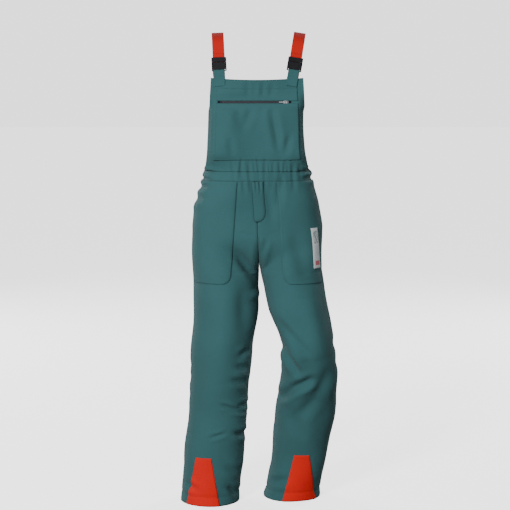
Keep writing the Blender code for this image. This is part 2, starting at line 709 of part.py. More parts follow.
def bib_heights():
    """Return the bib lattice's heights, with a row at each seam."""
    zip_half = ZIP_OPENING_WIDTH / 2
    lower = WAIST_SEAM_HEIGHT + GAP
    blend_top = WAIST_SEAM_HEIGHT + BIB_BLEND_HEIGHT
    return [
        lower,
        (lower + CHEST_POCKET_BOTTOM_HEIGHT) / 2,
        CHEST_POCKET_BOTTOM_HEIGHT,
        blend_top,
        blend_top + (CHEST_ZIP_HEIGHT - blend_top) / 2,
        CHEST_ZIP_HEIGHT - zip_half,
        CHEST_ZIP_HEIGHT + zip_half,
        BIB_TOP_HEIGHT - BIB_HEM_WIDTH,
        BIB_TOP_HEIGHT,
    ]


def bib_lattice(heights, columns):
    """Return the bib's outer points over these heights and shares of its half width."""
    return np.array([[bib_point(across, z) for across in columns] for z in heights])


def add_bib(garment, parent):
    """Add the bib, its top facing, the pocket panels in front of it, the back panel and its yoke."""
    inner_columns = [BIB_FLAT_SHARE * (i / 3 - 1) for i in range(7)]
    middle = (1 + BIB_FLAT_SHARE) / 2
    columns = [-1.0, -middle, *inner_columns, middle, 1.0]
    heights = bib_heights()
    add_shell("bib_front", bib_lattice(heights, columns), CLOTH, "teal_cloth", garment, parent, False)

    facing = bib_lattice(heights[-2:], [FACING_SHARE * across for across in inner_columns])
    facing[:, :, 1] += CLOTH + LAYER_GAP
    add_shell("bib_facing", facing, LIGHT_CLOTH, "teal_cloth", garment, parent, False)

    in_front = TAPE_THICKNESS + 2 * GAP + LIGHT_CLOTH
    for name, rows in (("chest_pocket_panel", heights[2:6]), ("chest_pocket_yoke", heights[6:8])):
        panel = bib_lattice(rows, inner_columns)
        panel += lattice_normals(panel, 1.0) * in_front
        add_shell(name, panel, LIGHT_CLOTH, "teal_cloth", garment, parent, False)

    back_rows = []
    yoke_rows = []
    for i in range(6):
        share = i / 5
        z = WAIST_SEAM_HEIGHT + GAP + (BACK_PANEL_TOP_HEIGHT - WAIST_SEAM_HEIGHT - GAP) * share
        half = BACK_PANEL_WAIST_HALF_WIDTH
        half += (BACK_PANEL_TOP_HALF_WIDTH - BACK_PANEL_WAIST_HALF_WIDTH) * math.sin(share * math.pi / 2)
        back_rows.append(back_row(half, z))
        if i >= 4:
            yoke_z = z if i == 5 else BACK_PANEL_TOP_HEIGHT - BACK_YOKE_WIDTH
            yoke_rows.append(back_row(BACK_PANEL_TOP_HALF_WIDTH * 0.95, yoke_z))
    add_shell("back_panel", np.array(back_rows), CLOTH, "teal_cloth", garment, parent, True)
    yoke = np.array(yoke_rows)
    yoke -= lattice_normals(yoke, -1.0) * (CLOTH + PATCH_GAP)
    add_shell("back_yoke", yoke, LIGHT_CLOTH, "teal_cloth", garment, parent, True)


def back_row(half_width, z):
    """Return points across the back panel at this height."""
    half, side_y, _, back_y = torso_outline(z)
    row = []
    for i in range(11):
        x = half_width * (i / 5 - 1)
        depth = (1 - min(abs(x) / half, 1.0) ** SQUARENESS) ** (1 / SQUARENESS)
        row.append((x, side_y + (back_y - side_y) * depth, z))
    return row


def toothed_outline(length, sign):
    """Return half of a zip chain in XZ: a spine with teeth that point across the middle line."""
    spine = sign * CHAIN_WIDTH / 2
    reach = -sign * CHAIN_WIDTH / 12
    root = sign * CHAIN_WIDTH / 5
    half_tooth = TOOTH_PITCH / 4 - GAP / 2
    shift = TOOTH_PITCH / 4 * sign
    outline = [(0.0, spine), (0.0, root)]
    for i in range(int((length - TOOTH_PITCH) / TOOTH_PITCH)):
        middle = TOOTH_PITCH * (i + 0.75) + shift
        outline += [(middle - half_tooth, root), (middle - half_tooth, reach)]
        outline += [(middle + half_tooth, reach), (middle + half_tooth, root)]
    return [*outline, (length, root), (length, spine)]


def add_zip(prefix, length, tape_extra, garment, cutters, parent, sides):
    """Add a zip along local X, facing local -Y, with its slider closed at the +X end."""
    tape_front = -GAP
    chain_back = tape_front - GAP
    chain_front = chain_back - CHAIN_THICKNESS
    for side, sign in zip(sides, (1.0, -1.0), strict=True):
        near = sign * GAP
        far = sign * (GAP + TAPE_WIDTH)
        low = (-tape_extra, 0.0, min(near, far))
        high = (length + tape_extra, TAPE_THICKNESS, max(near, far))
        tape = to_data("tape", box_between(low, high))
        add_object(f"{prefix}_tape_{side}", tape, "zip_tape", garment, parent)
        outline = toothed_outline(length, sign)
        teeth = outline_data(f"{prefix}_teeth_{side}", outline, CHAIN_THICKNESS / 2)
        chain = add_object(f"{prefix}_teeth_{side}", teeth, "zip_metal", garment, parent)
        chain.location = (0.0, (chain_back + chain_front) / 2, 0.0)
        stop_middle = sign * (CHAIN_WIDTH - STOP_LENGTH / 2) / 2
        stop_low = (length + 2 * GAP, chain_back - STOP_THICKNESS, stop_middle - STOP_LENGTH * 0.4)
        stop_high = (length + 2 * GAP + STOP_LENGTH, chain_back, stop_middle + STOP_LENGTH * 0.4)
        stop = to_data("stop", box_between(stop_low, stop_high, STOP_LENGTH / 8))
        add_object(f"{prefix}_top_stop_{side}", stop, "zip_metal", garment, parent)
    half = CHAIN_WIDTH / 2 + SLIDER_GAP
    low = (-STOP_LENGTH - 2 * GAP, chain_back - STOP_THICKNESS, -half)
    bottom = box_between(low, (-2 * GAP, chain_back, half), STOP_LENGTH / 8)
    add_object(f"{prefix}_bottom_stop", to_data("stop", bottom), "zip_metal", garment, parent)

    slider_home = add_empty(f"{prefix}_slide_axis", garment, parent)
    slider_home.location = (length - SLIDER_LENGTH / 2, 0.0, 0.0)
    plate_back = chain_front - SLIDER_GAP
    plate_front = plate_back - SLIDER_PLATE
    pin_y = plate_front - LUG_HEIGHT
    add_slider(prefix, (chain_back, plate_back, plate_front, pin_y), garment, cutters, slider_home)
    puller_home = add_empty(f"{prefix}_puller_axis", garment, slider_home)
    puller_home.location = (0.0, pin_y, 0.0)
    add_puller(prefix, garment, cutters, puller_home)


def add_slider(prefix, levels, garment, cutters, parent):
    """Add a slider: a plate over the chain, a flange down each side of it, and a lug with a pin."""
    chain_back, plate_back, plate_front, pin_y = levels
    inner = CHAIN_WIDTH / 2 + SLIDER_GAP
    outer = inner + SLIDER_FLANGE
    half = SLIDER_LENGTH / 2
    plate = box_between((-half, plate_front, -outer), (half, plate_back, outer), SLIDER_FLANGE / 3)
    slider = add_object(f"{prefix}_slider", to_data("slider", plate), "zip_metal", garment, parent)
    pieces = []
    for sign in (-1.0, 1.0):
        edges = sorted((sign * inner, sign * outer))
        low = (-half * FLANGE_SHARE, plate_back - GAP, edges[0])
        pieces.append(box_between(low, (half * FLANGE_SHARE, chain_back, edges[1])))
        cheek = sorted((sign * LUG_HALF_GAP, sign * (LUG_HALF_GAP + LUG_CHEEK)))
        low = (-PULLER_WIDTH / 2, pin_y - LUG_PIN_RADIUS * 2, cheek[0])
        pieces.append(box_between(low, (PULLER_WIDTH / 2, plate_front + GAP, cheek[1])))
    pin_length = 2 * LUG_HALF_GAP + LUG_CHEEK
    pieces.append(cylinder_mesh(LUG_PIN_RADIUS, pin_length, (0.0, pin_y, 0.0), "Z", 12))
    for i, piece in enumerate(pieces):
        add_boolean(slider, add_cutter(f"{prefix}_slider_tool_{i}", piece, cutters, parent), "UNION")


def add_puller(prefix, garment, cutters, parent):
    """Add the puller: an eye round the slider's pin and a tab that lies back along the chain."""
    bore = LUG_PIN_RADIUS + GAP
    eye = bore + 0.0006
    half = LUG_HALF_GAP - GAP
    puller = cylinder_mesh(eye, 2 * half, (0.0, 0.0, 0.0), "Z", 16)
    obj = add_object(f"{prefix}_puller", to_data("puller", puller), "zip_metal", garment, parent)
    thick = PULLER_THICKNESS / 2
    low = (-PULLER_LENGTH, -thick, -PULLER_WIDTH / 2)
    tab = box_between(low, (-bore, thick, PULLER_WIDTH / 2), thick / 3)
    add_boolean(obj, add_cutter(f"{prefix}_puller_tab", tab, cutters, parent), "UNION")
    hole = cylinder_mesh(bore, PULLER_WIDTH * 2, (0.0, 0.0, 0.0), "Z", 16)
    add_boolean(obj, add_cutter(f"{prefix}_puller_hole", hole, cutters, parent), "DIFFERENCE")


def add_zips(garment, cutters, parent):
    """Add the chest pocket's zip and the fly's, with the fly's cover and shield."""
    chest = Matrix.Translation((CHEST_ZIP_LEFT_X, BIB_Y - GAP - TAPE_THICKNESS, CHEST_ZIP_HEIGHT))
    home = add_empty("chest_zip_home", garment, parent, chest)
    length = CHEST_ZIP_RIGHT_X - CHEST_ZIP_LEFT_X
    add_zip("chest_zip", length, CHEST_ZIP_TAPE_EXTRA, garment, cutters, home, ("upper", "lower"))

    bottom_z = FLY_BOTTOM_HEIGHT + STOP_LENGTH + FLY_ZIP_TAPE_EXTRA
    top_x, bottom_x = front_seam_x(BAND_BOTTOM_HEIGHT), front_seam_x(bottom_z)
    lean = math.atan2(top_x - bottom_x, BAND_BOTTOM_HEIGHT - bottom_z)
    fly = Matrix.Translation((bottom_x, FRONT_Y + CLOTH + LAYER_GAP, bottom_z))
    fly @= Matrix.Rotation(lean, 4, "Y") @ Matrix.Rotation(-math.pi / 2, 4, "Y")
    home = add_empty("fly_zip_home", garment, parent, fly)
    add_zip("fly_zip", FLY_ZIP_LENGTH, FLY_ZIP_TAPE_EXTRA, garment, cutters, home, ("right", "left"))
    add_fly_covers(garment, parent)


def add_fly_covers(garment, parent):
    """Add the arched cover over the fly zip and the flat shield behind it."""
    edge_gap = LAYER_GAP
    arch_height = 0.0056
    free_edge, stitched_edge = -0.0085, 0.0285
    rows = []
    middle_z = (FLY_BOTTOM_HEIGHT + BAND_BOTTOM_HEIGHT) / 2
    for z in (FLY_BOTTOM_HEIGHT, middle_z, BAND_BOTTOM_HEIGHT - LAYER_GAP):
        row = []
        for i in range(10):
            share = i / 9
            rise = arch_height * math.sin(math.pi * share**0.6) + edge_gap + LIGHT_CLOTH
            x = front_seam_x(z) + free_edge + (stitched_edge - free_edge) * share
            row.append((x, FRONT_Y - rise, z))
        rows.append(row)
    add_shell("fly_cover", np.array(rows), LIGHT_CLOTH, "teal_cloth", garment, parent, False)
    shield_half = TAPE_WIDTH + SEAM_GAP
    shield_y = FRONT_Y + CLOTH + LAYER_GAP + TAPE_THICKNESS + LAYER_GAP
    rows = []
    for z in (FLY_BOTTOM_HEIGHT + SEAM_GAP, BAND_BOTTOM_HEIGHT - SEAM_GAP):
        seam = front_seam_x(z)
        rows.append([(seam + shield_half * k, shield_y, z) for k in (-1.0, 0.0, 1.0)])
    add_shell("fly_shield", np.array(rows), LIGHT_CLOTH, "lining_cloth", garment, parent, False)


def side_pair(sign, low, high):
    """Return a box's corners with its X span mirrored when sign is -1."""
    xs = sorted((sign * low[0], sign * high[0]))
    return (xs[0], low[1], low[2]), (xs[1], high[1], high[2])


def add_socket(side, garment, cutters, parent):
    """Add a buckle's socket: a flat box with a mouth, side windows and a slot for the bib tab."""
    half = BUCKLE_WIDTH / 2
    deep = BUCKLE_THICKNESS / 2
    body = box_between((-half, -deep, TAB_BAR_BOTTOM), (half, deep, SOCKET_HEIGHT), 0.0012)
    obj = add_object(f"{side}_buckle_socket", to_data("socket", body), "buckle_plastic", garment, parent)
    web_half = TAB_WIDTH / 2 + TAB_SIDE_GAP
    mouth = (SOCKET_MOUTH_HALF_WIDTH, SOCKET_MOUTH_HALF_DEPTH)
    beyond = deep + BUCKLE_THICKNESS
    slot_z = (TAB_BAR_TOP + TAB_SLOT_TOP) / 2
    below = TAB_BAR_BOTTOM - deep
    window_y = mouth[1] - GAP / 4
    cuts = [
        ((-mouth[0], -mouth[1], SOCKET_FLOOR), (mouth[0], mouth[1], SOCKET_HEIGHT + deep)),
        ((-half - deep, -window_y, SOCKET_WINDOW_BOTTOM), (half + deep, window_y, SOCKET_WINDOW_TOP)),
        ((-web_half, -beyond, TAB_BAR_TOP), (web_half, beyond, TAB_SLOT_TOP)),
        ((-web_half, -beyond, below), (web_half, -TAB_BAR_HALF_DEPTH, slot_z)),
        ((-web_half, TAB_BAR_HALF_DEPTH, below), (web_half, beyond, slot_z)),
    ]
    for i, (low, high) in enumerate(cuts):
        tool = add_cutter(f"{side}_socket_cut_{i}", box_between(low, high), cutters, parent)
        add_boolean(obj, tool, "DIFFERENCE")


def add_plug(side, garment, cutters, parent):
    """Add a buckle's plug: a block with a centre guide below and a slot above, crossed by a bar."""
    half = BUCKLE_WIDTH / 2
    deep = BUCKLE_THICKNESS / 2
    block = box_between((-half, -deep, PLUG_BOTTOM), (half, deep, PLUG_TOP), PLUG_EDGE)
    obj = add_object(f"{side}_buckle_plug", to_data("plug", block), "buckle_plastic", garment, parent)
    slot_x = WEBBING_WIDTH / 2 + LAYER_GAP
    slot_y = PLUG_BAR_HALF_DEPTH + WEBBING_THICKNESS + 2 * GAP
    slot = box_between((-slot_x, -slot_y, PLUG_FLOOR), (slot_x, slot_y, PLUG_TOP + deep))
    add_boolean(obj, add_cutter(f"{side}_plug_slot", slot, cutters, parent), "DIFFERENCE")
    guide_low = (-GUIDE_HALF_WIDTH, -PRONG_HALF_THICKNESS, SOCKET_FLOOR + SEAM_GAP)
    guide_high = (GUIDE_HALF_WIDTH, PRONG_HALF_THICKNESS, PLUG_BOTTOM + GAP)
    bar_low = (-slot_x - GAP, -PLUG_BAR_HALF_DEPTH, PLUG_BAR_BOTTOM)
    bar_high = (slot_x + GAP, PLUG_BAR_HALF_DEPTH, PLUG_BAR_TOP)
    for i, (low, high) in enumerate(((guide_low, guide_high), (bar_low, bar_high))):
        tool = add_cutter(f"{side}_plug_tool_{i}", box_between(low, high), cutters, parent)
        add_boolean(obj, tool, "UNION")


def add_prongs(side, garment, parent):
    """Add a plug's two spring prongs, each with its origin on the line that it flexes about."""
    for place, sign in (("outer", SIDES[side]), ("inner", -SIDES[side])):
        points = [(sign * x, z) for x, z in PRONG_OUTLINE]
        name = f"{side}_{place}_prong"
        data = outline_data(name, points, PRONG_HALF_THICKNESS)
        prong = add_object(name, data, "buckle_plastic", garment, parent)
        prong.location = (sign * PRONG_HINGE_X, 0.0, PRONG_HINGE_Z)


def ribbon_lattice(path, width, sideways):
    """Return a ribbon's lattice: one row at each (x, y, z) of its path, spread along a direction."""
    across = Vector(sideways) * width / 2
    return np.array([[Vector(point) - across, Vector(point) + across] for point in path])


def smooth_path(points, samples):
    """Return a Catmull-Rom curve through the points."""
    padded = [points[0], *points, points[-1]]
    path = []
    for i in range(1, len(padded) - 2):
        p0, p1, p2, p3 = (np.array(p) for p in padded[i - 1 : i + 3])
        for k in range(samples):
            t = k / samples
            square = (2 * p0 - 5 * p1 + 4 * p2 - p3) * t**2
            cube = (3 * p1 - p0 - 3 * p2 + p3) * t**3
            path.append(0.5 * (2 * p1 + (p2 - p0) * t + square + cube))
    return [*path, np.array(points[-1])]


def add_brace(side, garment, cutters, parent):
    """Add one brace: its bib tab, its side-release buckle and the webbing over the shoulder."""
    sign = SIDES[side]
    tilt = math.radians(BUCKLE_TILT_DEG[side]) * sign
    middle_y = BIB_Y + CLOTH / 2
    place = Matrix.Translation((BUCKLE_X[side], middle_y, BUCKLE_BOTTOM_HEIGHT))
    place = place @ Matrix.Rotation(tilt, 4, "Y")
    home = add_empty(f"{side}_buckle_home", garment, parent, place)
    add_socket(side, garment, cutters, home)
    add_plug(side, garment, cutters, home)
    add_prongs(side, garment, home)

    leg_y = TAB_BAR_HALF_DEPTH + GAP + TAB_THICKNESS / 2
    crown_z = TAB_BAR_TOP + GAP + TAB_THICKNESS / 2
    path = [(0, -leg_y, -TAB_LENGTH_BELOW_BUCKLE), (0, -leg_y, crown_z), (0, leg_y, crown_z)]
    path.append((0, leg_y, -TAB_LENGTH_BELOW_BUCKLE))
    tab = ribbon_lattice(path, TAB_WIDTH, (1, 0, 0))
    add_shell(f"{side}_bib_tab", tab, TAB_THICKNESS, "teal_cloth", garment, home, False, 0.0)
    add_webbing(side, place, garment, parent)


def add_webbing(side, place, garment, parent):
    """Add the brace's webbing: a short tail in front, round the bar, over the shoulder and down the back."""
    reach = PLUG_BAR_HALF_DEPTH + GAP + WEBBING_THICKNESS / 2
    turn_z = PLUG_BAR_BOTTOM - GAP
    path = [(0, -reach, WEBBING_TAIL_TOP), (0, -reach, turn_z)]
    for i in range(1, 4):
        angle = math.pi * i / 4
        path.append((0, -reach * math.cos(angle), turn_z - reach * math.sin(angle)))
    path += [(0, reach, turn_z), (0, reach, PLUG_TOP), (0, reach, WEBBING_TAIL_TOP + WEBBING_LEAD)]
    front = [place @ Vector(point) for point in path]
    start = front[-1]
    up = place.to_3x3() @ Vector((0, 0, 1))
    height = SHOULDER_HEIGHT + WEBBING_THICKNESS / 2

    front_reach = start.y

    def on_brace(y, z):
        """Return the point of the brace at this y and z; it spreads a little outward towards the back."""
        spread = 1 + BRACE_SPREAD * (y - front_reach) / (SHOULDER_BACK_Y - front_reach)
        return (start.x + up.x / up.z * (z - start.z)) * spread, y, z

    over = [
        on_brace(front_reach, start.z),
        on_brace(front_reach + 0.010, start.z + 0.024),
        on_brace(front_reach + 0.036, height - 0.009),
        on_brace(front_reach + 0.085, height),
        on_brace(SHOULDER_BACK_Y - 0.070, height - 0.004),
        on_brace(SHOULDER_BACK_Y - 0.026, height - 0.028),
        on_brace(SHOULDER_BACK_Y - 0.004, height - 0.075),
        on_brace(SHOULDER_BACK_Y, BIB_TOP_HEIGHT - BRACE_HIDDEN_DROP),
    ]
    end_x = SIDES[side] * (BACK_PANEL_TOP_HALF_WIDTH - WEBBING_WIDTH / 2)
    over.append((end_x, BACK_TOP_Y - CLOTH, BACK_PANEL_TOP_HEIGHT + LAYER_GAP))
    curve = smooth_path(over, 3)
    ribbon = ribbon_lattice([*front[:-1], *curve], WEBBING_WIDTH, place.to_3x3() @ Vector((1, 0, 0)))
    add_shell(f"{side}_brace_webbing", ribbon, WEBBING_THICKNESS, "webbing", garment, parent, False, 0.0)


def main():
    """Build the overalls."""
    clear_scene()
    garment = make_collection("protective_overalls")
    cutters = make_collection("cutters")
    shoulder = add_empty("shoulder_rest", garment, None, Matrix.Translation((0.0, 0.0, -SHOULDER_HEIGHT)))
    add_legs(garment, cutters, shoulder)
    add_label(garment, shoulder)
    add_waistband(garment, shoulder)
    add_bib(garment, shoulder)
    add_zips(garment, cutters, shoulder)
    for side in SIDES:
        add_brace(side, garment, cutters, shoulder)
    bpy.context.view_layer.update()


main()
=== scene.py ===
"""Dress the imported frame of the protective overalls: draped cloth, stitching, zips, buckles and braces."""

import logging
import math
import random
from collections.abc import Callable, Iterable, Sequence
from dataclasses import dataclass, field
from enum import Enum
from functools import lru_cache

import bmesh
import bpy
import numpy as np
from mathutils import Matrix, Vector


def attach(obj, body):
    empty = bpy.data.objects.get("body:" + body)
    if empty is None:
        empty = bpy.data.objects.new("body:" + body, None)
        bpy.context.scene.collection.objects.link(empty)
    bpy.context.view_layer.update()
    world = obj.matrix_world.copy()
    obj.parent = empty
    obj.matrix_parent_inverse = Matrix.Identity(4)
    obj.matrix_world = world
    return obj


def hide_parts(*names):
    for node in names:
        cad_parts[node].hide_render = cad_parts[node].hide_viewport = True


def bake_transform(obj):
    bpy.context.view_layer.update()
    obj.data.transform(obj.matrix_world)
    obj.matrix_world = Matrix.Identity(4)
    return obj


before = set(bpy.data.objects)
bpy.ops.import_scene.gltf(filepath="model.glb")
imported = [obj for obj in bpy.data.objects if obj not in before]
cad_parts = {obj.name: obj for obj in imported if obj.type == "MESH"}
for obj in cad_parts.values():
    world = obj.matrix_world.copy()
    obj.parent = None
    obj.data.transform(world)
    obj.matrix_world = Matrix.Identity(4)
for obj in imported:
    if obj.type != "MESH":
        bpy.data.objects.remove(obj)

LOG = logging.getLogger("overalls")
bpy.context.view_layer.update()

Array = np.ndarray
Material = bpy.types.Material
Object = bpy.types.Object
Colour = tuple[float, float, float]
Spot = tuple[float, float]
Place = tuple[float, float, float]
Output = bpy.types.NodeSocket
Feed = Output | float | Colour
Relief = Callable[[Array, Array], Array]

# Heights above the hem; the frame's origin is where the braces rest on the shoulders.
SHOULDER_HEIGHT = 1.4795
CROTCH_HEIGHT = 0.745
FLY_BOTTOM_HEIGHT = 0.905
WAIST_SEAM_HEIGHT = 1.060
WAISTBAND_WIDTH = 0.031
BAND_BOTTOM_HEIGHT = WAIST_SEAM_HEIGHT - WAISTBAND_WIDTH
BIB_TOP_HEIGHT = 1.344
CHEST_ZIP_HEIGHT = 1.271
BACK_PANEL_TOP_HEIGHT = 1.235

# Cloth thicknesses and the small clearances between layers.
CLOTH = 0.0018
LIGHT_CLOTH = 0.0012
LINING = 0.0010
PAD_THICKNESS = 0.006
LAYER_GAP = 0.0005

# A wave texture repeats this often in a unit of length once it is scaled to the thread.
WAVE_PER_THREAD = 0.3142

# The body's shape, as the frame has it.
FRONT_Y = -0.120
BIB_Y = FRONT_Y - 0.0037
SQUARENESS = 3.0
RISE_BLEND = 0.110
CROTCH_LIFT = 1.6
WAIST_HALF_WIDTH = 0.1705
WAIST_SIDE_Y = -0.005
SEAM_TOP_X = -0.0076
SEAM_BOTTOM_X = 0.008
SEAM_STRAIGHTEN = 1.26
SEAM_LEAN = 0.6
LEG_ROUNDNESS = 0.9

# The grids' rows crowd together just above the crotch.
CROWD_HEIGHT = CROTCH_HEIGHT + 0.02
CROWD_REACH = 0.05
CROWDING = 1.4
LEG_SECTIONS = {
    -1: (
        (0.000, -0.2435, -0.0565, 0.008, 0.190),
        (0.207, -0.2315, -0.0425, 0.004, 0.190),
        (0.451, -0.2150, -0.0270, -0.004, 0.196),
        (0.659, -0.2080, -0.0145, -0.020, 0.205),
        (0.866, -0.2005, 0.0065, -0.016, 0.226),
        (1.000, -0.2030, 0.0080, -0.008, 0.240),
    ),
    1: (
        (0.000, 0.1985, 0.0275, 0.062, 0.186),
        (0.193, 0.2245, 0.0465, 0.044, 0.186),
        (0.379, 0.2500, 0.0570, 0.014, 0.194),
        (0.529, 0.2520, 0.0740, -0.022, 0.200),
        (0.671, 0.2440, 0.0760, -0.048, 0.206),
        (0.839, 0.2250, 0.0355, -0.036, 0.218),
        (1.000, 0.2030, 0.0080, -0.008, 0.240),
    ),
}
TORSO_HALF_WIDTHS = ((0.745, 0.203), (0.850, 0.2015), (0.950, 0.1915), (1.029, 0.1705), (1.235, 0.1645))
TORSO_SIDE_Y = ((0.850, 0.005), (1.029, -0.005))
TORSO_BACK_Y = ((0.745, 0.140), (0.850, 0.140), (1.029, 0.100), (1.235, 0.112))
BIB_HALF_WIDTHS = ((0.0, 0.1620), (0.09, 0.1570), (0.24, 0.1505), (0.60, 0.1470), (1.0, 0.1405))


class Side(Enum):
    """The wearer's side; its value is the sign of X there."""

    RIGHT = -1
    LEFT = 1

    @property
    def word(self) -> str:
        """Return the side's name as the frame's nodes spell it."""
        return self.name.lower()


class Face(Enum):
    """Front or back; its value is the sign of Y there."""

    FRONT = -1
    BACK = 1


class Weave(Enum):
    """How a cloth's threads cross."""

    TWILL = "diagonal ribs"
    PLAIN = "over and under"
    RIBBED = "ribs along its length"


class Kind(Enum):
    """What a made cloth is; the cut keeps it, but nothing sets it on the piece."""

    SHEET = "a sheet of cloth"
    PADDED = "a quilted pad"
    STRAP = "a flat strap"


# ---------------------------------------------------------------- curves and the body's surface


def monotone_curve(points: Sequence[Spot], at: float) -> float:
    """Return a smooth value through points that never overshoots them.

    Args:
        points: Rising positions, each with its value.
        at: The position asked for, held within the first and last.

    Returns:
        The value there.
    """
    x = np.array([p[0] for p in points], float)
    y = np.array([p[1] for p in points], float)
    step = np.diff(x)
    slope = np.diff(y) / step
    tangent = np.zeros(len(x))
    tangent[0], tangent[-1] = slope[0], slope[-1]
    for i in range(1, len(x) - 1):
        if slope[i - 1] * slope[i] > 0:
            w0, w1 = 2 * step[i] + step[i - 1], step[i] + 2 * step[i - 1]
            tangent[i] = (w0 + w1) / (w0 / slope[i - 1] + w1 / slope[i])
    at = min(max(at, x[0]), x[-1])
    i = min(int(np.searchsorted(x, at, side="right")) - 1, len(step) - 1)
    t = (at - x[i]) / step[i]
    near = (1 + 2 * t) * (1 - t) ** 2 * y[i] + t * (1 - t) ** 2 * step[i] * tangent[i]
    far = t * t * (3 - 2 * t) * y[i + 1] + t * t * (t - 1) * step[i] * tangent[i + 1]
    return float(near + far)


def smooth(t: float | Array) -> float | Array:
    """Return the smoothstep of t, held between 0 and 1."""
    held = np.clip(t, 0.0, 1.0)
    return held * held * (3 - 2 * held)


def run_lengths(points: Array) -> Array:
    """Return how far along the run each of its points lies."""
    return np.concatenate([[0.0], np.cumsum(np.linalg.norm(np.diff(points, axis=0), axis=1))])


def at_lengths(wanted: float | Array, lengths: Array, values: Array) -> Array:
    """Return the values, one column each, at these distances along a run."""
    return np.stack([np.interp(wanted, lengths, values[:, k]) for k in range(values.shape[1])], axis=-1)


@lru_cache(maxsize=None)
def front_seam_x(height: float) -> float:
    """Return where the centre seam runs at this height."""
    rise = BAND_BOTTOM_HEIGHT - CROTCH_HEIGHT
    drop = (BAND_BOTTOM_HEIGHT - height) / rise
    if height < FLY_BOTTOM_HEIGHT:
        fly = (BAND_BOTTOM_HEIGHT - FLY_BOTTOM_HEIGHT) / rise
        drop = fly + (drop - fly) * SEAM_LEAN
    share = min(max(drop, 0.0) * SEAM_STRAIGHTEN, 1.0)
    return SEAM_TOP_X + (SEAM_BOTTOM_X - SEAM_TOP_X) * share


@lru_cache(maxsize=None)
def leg_section(side: Side, height: float) -> tuple[float, ...]:
    """Return a leg's outer x, inner x, centre y and depth at this height, up to the crotch's own."""
    rows = LEG_SECTIONS[side.value]
    level = min(height, CROTCH_HEIGHT)
    return tuple(monotone_curve([(r[0] * CROTCH_HEIGHT, r[i]) for r in rows], level) for i in range(1, 5))


@lru_cache(maxsize=None)
def torso_section(height: float) -> tuple[float, float, float]:
    """Return the torso's half width, side seam y and back y at this height."""
    return (
        monotone_curve(TORSO_HALF_WIDTHS, height),
        monotone_curve(TORSO_SIDE_Y, height),
        monotone_curve(TORSO_BACK_Y, height),
    )


def body_curve(side: Side, face: Face, u: Array, height: float, inset: float = 0.0) -> Array:
    """Return points on the body at one height.

    Args:
        side: The wearer's side.
        face: Front or back.
        u: Shares of the way from the side seam (0) round to the centre seam or inseam (1).
        height: The height above the hem.
        inset: How far inside the outer cloth they lie.

    Returns:
        An array of x and y, one row for each share.
    """
    sign = side.value
    seam = front_seam_x(height) + sign * inset
    outer, inner, centre_y, depth = leg_section(side, height)
    outer, inner, depth = outer - sign * inset, inner + sign * inset, depth - 2 * inset
    if height >= CROTCH_HEIGHT:
        inner = seam
    turn = math.pi * u
    leg_x = (outer + inner) / 2 + (outer - inner) / 2 * np.cos(turn)
    leg_y = centre_y + face.value * depth / 2 * np.maximum(np.sin(turn), 0.0) ** LEG_ROUNDNESS
    if height <= CROTCH_HEIGHT:
        return np.stack([leg_x, leg_y], axis=1)
    half, side_y, back_y = torso_section(height)
    power = 2 / SQUARENESS
    reach = (sign * (half - inset) - seam) * np.maximum(np.cos(turn / 2), 0.0) ** power
    far_y = (FRONT_Y if face is Face.FRONT else back_y) - face.value * inset
    torso_y = side_y + (far_y - side_y) * np.maximum(np.sin(turn / 2), 0.0) ** power
    share = min((height - CROTCH_HEIGHT) / RISE_BLEND, 1.0)
    soft = float(smooth(share))
    weight = soft + (math.sqrt(1 - (1 - share) ** 2) - soft) * u**3
    x = (1 - weight) * leg_x + weight * (seam + reach)
    y = (1 - weight) * leg_y + weight * torso_y
    return np.stack([x, y], axis=1)


def body_grid(
    side: Side,
    face: Face,
    heights: Sequence[float],
    columns: int,
    inset: float = 0.0,
    span: Callable[[float], Spot] | None = None,
    trim: Callable[[float], float] | None = None,
) -> Array:
    """Return a grid of points over one side of the body, row by row from low to high.

    Args:
        side: The wearer's side.
        face: Front or back.
        heights: The rows' heights.
        columns: How many points each row has, from the side seam to the centre.
        inset: How far inside the outer cloth the grid lies.
        span: Gives a row's outer and inner distance from the middle plane, where it covers only part.
        trim: Gives how far a row stops short of the centre seam.

    Returns:
        An array of rows, columns and coordinates.
    """
    u = np.sin(np.linspace(0.0, math.pi / 2, 240))
    rows = []
    for height in heights:
        curve = body_curve(side, face, u, height, inset)
        length = run_lengths(curve)
        first, last = 0.0, length[-1] - (trim(height) if trim else 0.0)
        if span:
            distance = side.value * curve[:, 0]
            first, last = (float(np.interp(-x, -distance, length)) for x in span(height))
        wanted = np.linspace(first, last, columns)
        lift = CROTCH_LIFT * inset * (1 - float(smooth(abs(height - CROTCH_HEIGHT) / RISE_BLEND)))
        rows.append(np.column_stack([at_lengths(wanted, length, curve), np.full(columns, height + lift)]))
    return np.array(rows)


def leg_levels(rows: int, low: float = 0.0, high: float = BAND_BOTTOM_HEIGHT) -> list[float]:
    """Return heights from low to high, closer together just above the crotch."""
    levels = np.linspace(low, high, rows)
    near = np.exp(-(((levels - CROWD_HEIGHT) / CROWD_REACH) ** 2))
    weight = np.cumsum(1.0 / (1.0 + near * CROWDING))
    weight = (weight - weight[0]) / (weight[-1] - weight[0])
    return [float(v) for v in low + (high - low) * weight]


# ---------------------------------------------------------------- folds


